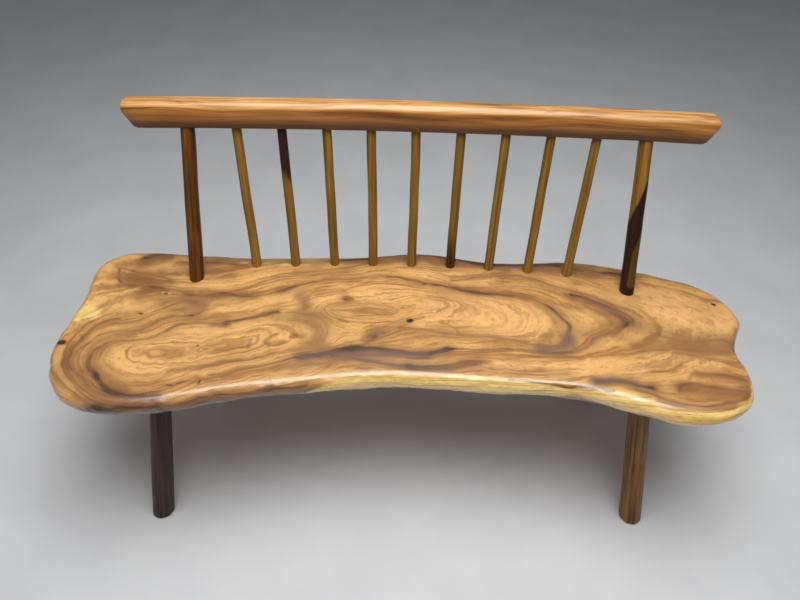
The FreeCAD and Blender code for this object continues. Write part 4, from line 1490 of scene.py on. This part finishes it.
@dataclass
class CrestRail:
    """The bowed rail across the top of the back. Sizes in mm."""

    bow: Bow = Bow()
    left: float = -664.5
    right: float = 693.5
    under: float = 790.0
    top: float = 853.0
    half_depth: float = 25.0
    front_top_round: float = 21.0
    back_top_round: float = 14.0
    front_under_round: float = 8.0
    back_under_round: float = 6.0
    end_round: float = 71.0
    end_dip: float = 6.3
    left_corner: float = 4.0
    right_corner: float = 11.0
    steepest: float = 0.98
    stations: int = 100
    corner_steps: int = 12
    # Each ring of a rounded end is how far it shrinks and how far it stands back.
    cap: tuple[Point, ...] = ((0.02, 0.0), (0.6, 0.0), (0.90, 0.3), (0.965, 1.2))
    body_recess: float = 3.2
    sanding: tuple[Wave, ...] = ((0.35, 50.0, 31),)
    sanding_stretch: Place = (0.2, 1.0, 1.0)
    # The grain rises and falls along the rail in these heights, lengths and phases.
    grain_waves: tuple[Place, ...] = ((3.0, 90.0, 0.0), (2.0, 37.0, 1.3))

    def _section(self) -> np.ndarray:
        """Draw the rail's cross-section round from the front underside.

        Returns:
            Rows of y and z in mm, y from the middle line.
        """
        corners = (
            (-self.half_depth, self.under, self.front_under_round, math.pi, 1.5 * math.pi),
            (self.half_depth, self.under, self.back_under_round, 1.5 * math.pi, TURN),
            (self.half_depth, self.top, self.back_top_round, 0.0, 0.5 * math.pi),
            (-self.half_depth, self.top, self.front_top_round, 0.5 * math.pi, math.pi),
        )
        rows = []
        for y, z, radius, start, end in corners:
            cy = y - math.copysign(radius, y)
            cz = z + radius if z == self.under else z - radius
            for angle in np.linspace(start, end, self.corner_steps):
                rows.append((cy + radius * math.cos(angle), cz + radius * math.sin(angle)))
        return np.array(rows)

    def _stations(self) -> list[Place]:
        """Say where each ring stands: share of the length, shrink and recess at the ends."""
        shares = np.linspace(0, 1, self.stations - 2 * len(self.cap))
        left = [(0.0, *ring) for ring in self.cap]
        right = [(1.0, *ring) for ring in reversed(self.cap)]
        return left + [(share, 1.0, self.body_recess) for share in shares] + right

    def _end_inset(self, z: np.ndarray, upper_round: float) -> np.ndarray:
        """Say how far the end stands back from the rail's full reach at each height.

        Args:
            z: Heights in mm.
            upper_round: Radius of the end's upper corner.

        Returns:
            The distance in mm.
        """
        below = np.clip(self.top - self.end_dip - z, 0, self.end_round * self.steepest)
        low = self.end_round - np.sqrt(self.end_round**2 - below**2)
        over = np.clip(z - (self.top - upper_round), 0, upper_round * self.steepest)
        high = upper_round - np.sqrt(upper_round**2 - over**2)
        return low + high

    def build(self) -> None:
        """Model the rail, store its grain, and dress it."""
        section, stations = self._section(), self._stations()
        rings = np.empty((len(stations), len(section), 3))
        middle = section.mean(axis=0)
        for i, (share, shrink, recess) in enumerate(stations):
            y, z = (middle + (section - middle) * shrink).T
            left = self.left + self._end_inset(z, self.left_corner) + recess
            right = self.right - self._end_inset(z, self.right_corner) - recess
            x = left + (right - left) * share
            rings[i] = np.column_stack([x, self.bow.at(x - self.bow.centre) + y, z])
        rail = rod("crest_rail_bowed", len(stations), len(section))
        shape_rod(rail, rings)
        self._hand_finish(rail)
        self._store_grain(rail)
        round_off(rail, 40.0)
        install(rail, "crest_rail", "rail", StickTone.RAIL.value.material())

    def _hand_finish(self, rail: bpy.types.Object) -> None:
        """Take the rail a little out of true, as hand sanding does."""
        places = corners_of(rail)
        drawn_out = places / MM * np.array(self.sanding_stretch)
        sanded = np.abs(ripples(drawn_out, self.sanding)) * MM
        middle = (self.under + self.top) / 2 * MM
        places[:, 2] -= np.sign(places[:, 2] - middle) * sanded
        set_corners(rail, places)

    def _store_grain(self, rail: bpy.types.Object) -> None:
        """Store the grain, which runs along the bow, and the painted shade and highlight."""
        x, y, z = (corners_of(rail) / MM).T
        across = x - self.bow.centre
        wave = sum(high * np.sin(across / run + phase) for high, run, phase in self.grain_waves)
        keep(rail, "grain", (y - self.bow.at(across)) * MM, (z + wave) * MM, across * MM)
        # Darker below, partly the wood and partly painted shade, a little less so along the lower
        # edge as a painted reflection, and a painted highlight along the top.
        dark = 0.78 * smooth_step(0, 22, 831 - z) - 0.15 * smooth_step(0, 8, 800 - z)
        keep(rail, "mark", dark, smooth_step(830, 845, z), np.zeros_like(z))


@dataclass
class Legs:
    """Four splayed, tapered legs. Sizes in mm."""

    under: float = 400.0
    buried: float = 8.0
    foot_diameter: float = 54.0
    top_diameter: float = 47.0
    foot_bevel: float = 3.0
    bevel_share: float = 0.35
    flats: int = 8
    flat_share: float = 0.45
    swell: float = 0.008
    first_seed: int = 300
    stations: int = 60
    sides: int = 64
    # Each leg's node, its foot and its top.
    corners: tuple[tuple[str, Point, Point], ...] = (
        ("leg_front_left", (-602.5, -271.3), (-535.6, -215.0)),
        ("leg_front_right", (586.3, -246.1), (519.4, -189.8)),
        ("leg_rear_left", (-528.4, 186.7), (-461.5, 130.5)),
        ("leg_rear_right", (545.4, 186.7), (478.5, 130.5)),
    )

    def build(self) -> None:
        """Model one leg, copy it for each corner, and dress the copies."""
        model = rod("leg_model", self.stations, self.sides)
        dark = StickTone.LEG_DARK.value.material()
        brown = StickTone.LEG_BROWN.value.material()
        for number, (node, (x, y), top) in enumerate(self.corners):
            seed = self.first_seed + 10 * number
            foot, head = (x, y, 0.0), (*top, self.under)
            line = StickLine(node, foot, head, self.foot_diameter, self.top_diameter)
            leg = copy_of(model, node + "_shaved")
            shape_rod(leg, self._rings(line, seed))
            line.store_grain(leg, seed)
            round_off(leg, 30.0)
            install(leg, node, "leg", dark if node.endswith("left") else brown)
        discard(model)

    def _rings(self, line: StickLine, seed: int) -> np.ndarray:
        """Lay the level rings of one leg from its foot up.

        Args:
            line: The leg's two ends and diameters.
            seed: Which small irregularities it has.

        Returns:
            Places in mm as ring, corner, x y z.
        """
        foot, head = np.array(line.foot), np.array(line.head)
        end = 1 + self.buried / self.under
        low = self.foot_bevel / self.under
        body = np.linspace(low, end, self.stations - 2)
        shares = np.concatenate([[0.0, low * self.bevel_share], body])
        trim = np.zeros(self.stations)
        trim[:2] = (self.foot_bevel, self.foot_bevel * self.bevel_share)
        turn = np.arange(self.sides) / self.sides * TURN
        grid = np.column_stack([shares * 6, np.zeros(self.stations)])
        swell = 1 + self.swell * ripple(grid, 2.5, seed)
        # A soft octagon: eight shaved flats that meet in rounded corners.
        half_flat = math.pi / self.flats
        octagon = math.cos(half_flat) / np.cos((turn + seed) % (2 * half_flat) - half_flat)
        edge = self.flat_share * octagon / octagon.mean() + (1 - self.flat_share)
        ring = np.column_stack([np.cos(turn) * edge, np.sin(turn) * edge, np.zeros(self.sides)])
        rings = np.empty((self.stations, self.sides, 3))
        for i, share in enumerate(shares):
            width = line.foot_diameter * (1 - share) + line.head_diameter * share
            rings[i] = foot + (head - foot) * share + ring * (width / 2 * swell[i] - trim[i])
        return rings


@dataclass
class Joinery:
    """Pegs and wedges inside the joints, which keep their CAD shapes."""

    name: str = "acacia_peg_oiled"
    pale: str = "#B58A5A"
    middle: str = "#8E6238"
    deep: str = "#63421F"
    streak_size: Place = (3.0, 3.0, 30.0)

    def build(self, nodes: dict[str, bpy.types.Object]) -> None:
        """Give every peg and wedge its wood.

        Args:
            nodes: The frame's CAD nodes by name.
        """
        finish = self._oiled()
        for name, node in nodes.items():
            if "wedge" in name or "peg" in name:
                dress(node, finish)
                log.info("%s: CAD shape kept, finish %s", name, finish.name)

    def _oiled(self) -> bpy.types.Material:
        """Make a matt oiled wood with fine streaks, which reads the piece's own place."""
        wood = Surface(self.name)
        place = wood.add("TexCoord").outputs["Object"]
        streaks = wood.grain(place, self.streak_size)
        stops = ((0.3, self.deep), (0.5, self.middle), (0.7, self.pale))
        colour = wood.add("ValToRGB", {"stops": stops}, {0: streaks})
        rough = wood.add("MapRange", {**EASED, 1: 0.2, 2: 0.8, 3: 0.6, 4: 0.5}, {0: streaks})
        return wood.lacquered(colour, streaks, rough, coat=0.0)


# --------------------------------------------------------------------------
# Studio
# --------------------------------------------------------------------------


@dataclass
class Studio:
    """Floor, soft light and camera. Distances in metres, angles in degrees."""

    camera_place: Place = (-0.0105, -1.07592, 1.435)
    yaw: float = -0.404
    pitch: float = 41.185
    roll: float = -1.487
    focal_pixels: float = 610.95
    frame_pixels: float = 800.0
    sensor: float = 36.0
    floor_half: float = 6.0
    floor_dark: str = "#D3D4D6"
    floor_light: str = "#DCDDDE"
    mottle_size: float = 300.0
    sky: str = "#F2F4F8"
    sky_strength: float = 0.14

    def build(self) -> None:
        """Set up everything round the bench."""
        self._floor()
        # One large soft lamp over the front, a weak fill, and a pale world.
        self._lamp("key_soft", (0.1, -0.4, 2.95), (0.0, -0.3, 0.4), 2.1, 84.0)
        self._lamp("fill_soft", (-2.4, -2.0, 2.0), (0.0, 0.0, 0.5), 2.0, 5.0)
        world = bpy.data.worlds.new("studio_world")
        world.use_nodes = True
        background = world.node_tree.nodes["Background"]
        background.inputs["Color"].default_value = linear(self.sky)
        background.inputs["Strength"].default_value = self.sky_strength
        bpy.context.scene.world = world
        self._camera()
        bpy.context.scene.view_settings.view_transform = "Standard"

    def _floor(self) -> None:
        """Lay a plain pale floor that keeps the bench's shadow."""
        nothing_selected()
        bpy.ops.mesh.primitive_plane_add(size=2 * self.floor_half, location=(0, 0, 0))
        floor = bpy.context.active_object
        floor.name = "studio_floor"
        matt = Surface("studio_floor_matt")
        place = matt.add("TexCoord").outputs["Object"]
        mottle = matt.grain(place, (self.mottle_size,) * 3, 3.0)
        stops = ((0.3, self.floor_dark), (0.7, self.floor_light))
        colour = matt.add("ValToRGB", {"stops": stops}, {0: mottle})
        shader = matt.add("BsdfPrincipled", {"Roughness": 0.55}, {"Base Color": colour})
        matt.add("OutputMaterial", links={"Surface": shader})
        dress(floor, matt.material)

    def _lamp(self, name: str, place: Place, target: Place, size: float, power: float) -> None:
        """Hang one square lamp.

        Args:
            name: The lamp's name.
            place: Where it hangs.
            target: What it points at.
            size: Its side.
            power: Its power in watts.
        """
        nothing_selected()
        bpy.ops.object.light_add(type="AREA", location=place)
        lamp = bpy.context.active_object
        lamp.name = name
        lamp.data.shape, lamp.data.size, lamp.data.energy = "SQUARE", size, power
        aim = Vector(target) - Vector(place)
        lamp.rotation_euler = aim.to_track_quat("-Z", "Y").to_euler()

    def _camera(self) -> None:
        """Stand the camera where the photograph was taken from."""
        yaw, pitch, roll = (math.radians(a) for a in (self.yaw, self.pitch, self.roll))
        forward = np.array(
            [math.sin(yaw) * math.cos(pitch), math.cos(yaw) * math.cos(pitch), -math.sin(pitch)]
        )
        right = np.array([math.cos(yaw), -math.sin(yaw), 0.0])
        down = np.cross(forward, right)
        right_rolled = math.cos(roll) * right + math.sin(roll) * down
        down_rolled = -math.sin(roll) * right + math.cos(roll) * down
        pose = np.eye(4)
        pose[:3, :3] = np.column_stack([right_rolled, -down_rolled, -forward])
        pose[:3, 3] = self.camera_place
        nothing_selected()
        bpy.ops.object.camera_add()
        camera = bpy.context.active_object
        camera.name = "photo_camera"
        camera.matrix_world = Matrix(pose.tolist())
        camera.data.sensor_fit = "HORIZONTAL"
        camera.data.sensor_width = self.sensor
        camera.data.lens = self.focal_pixels / self.frame_pixels * self.sensor
        bpy.context.scene.camera = camera


def main() -> None:
    """Load the frame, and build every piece."""
    logging.basicConfig(level=logging.INFO, format="%(name)s: %(message)s")
    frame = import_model()
    Seat().build()
    Back().build()
    CrestRail().build()
    Legs().build()
    Joinery().build(frame["nodes"])
    Studio().build()


if __name__ == "__main__":
    main()
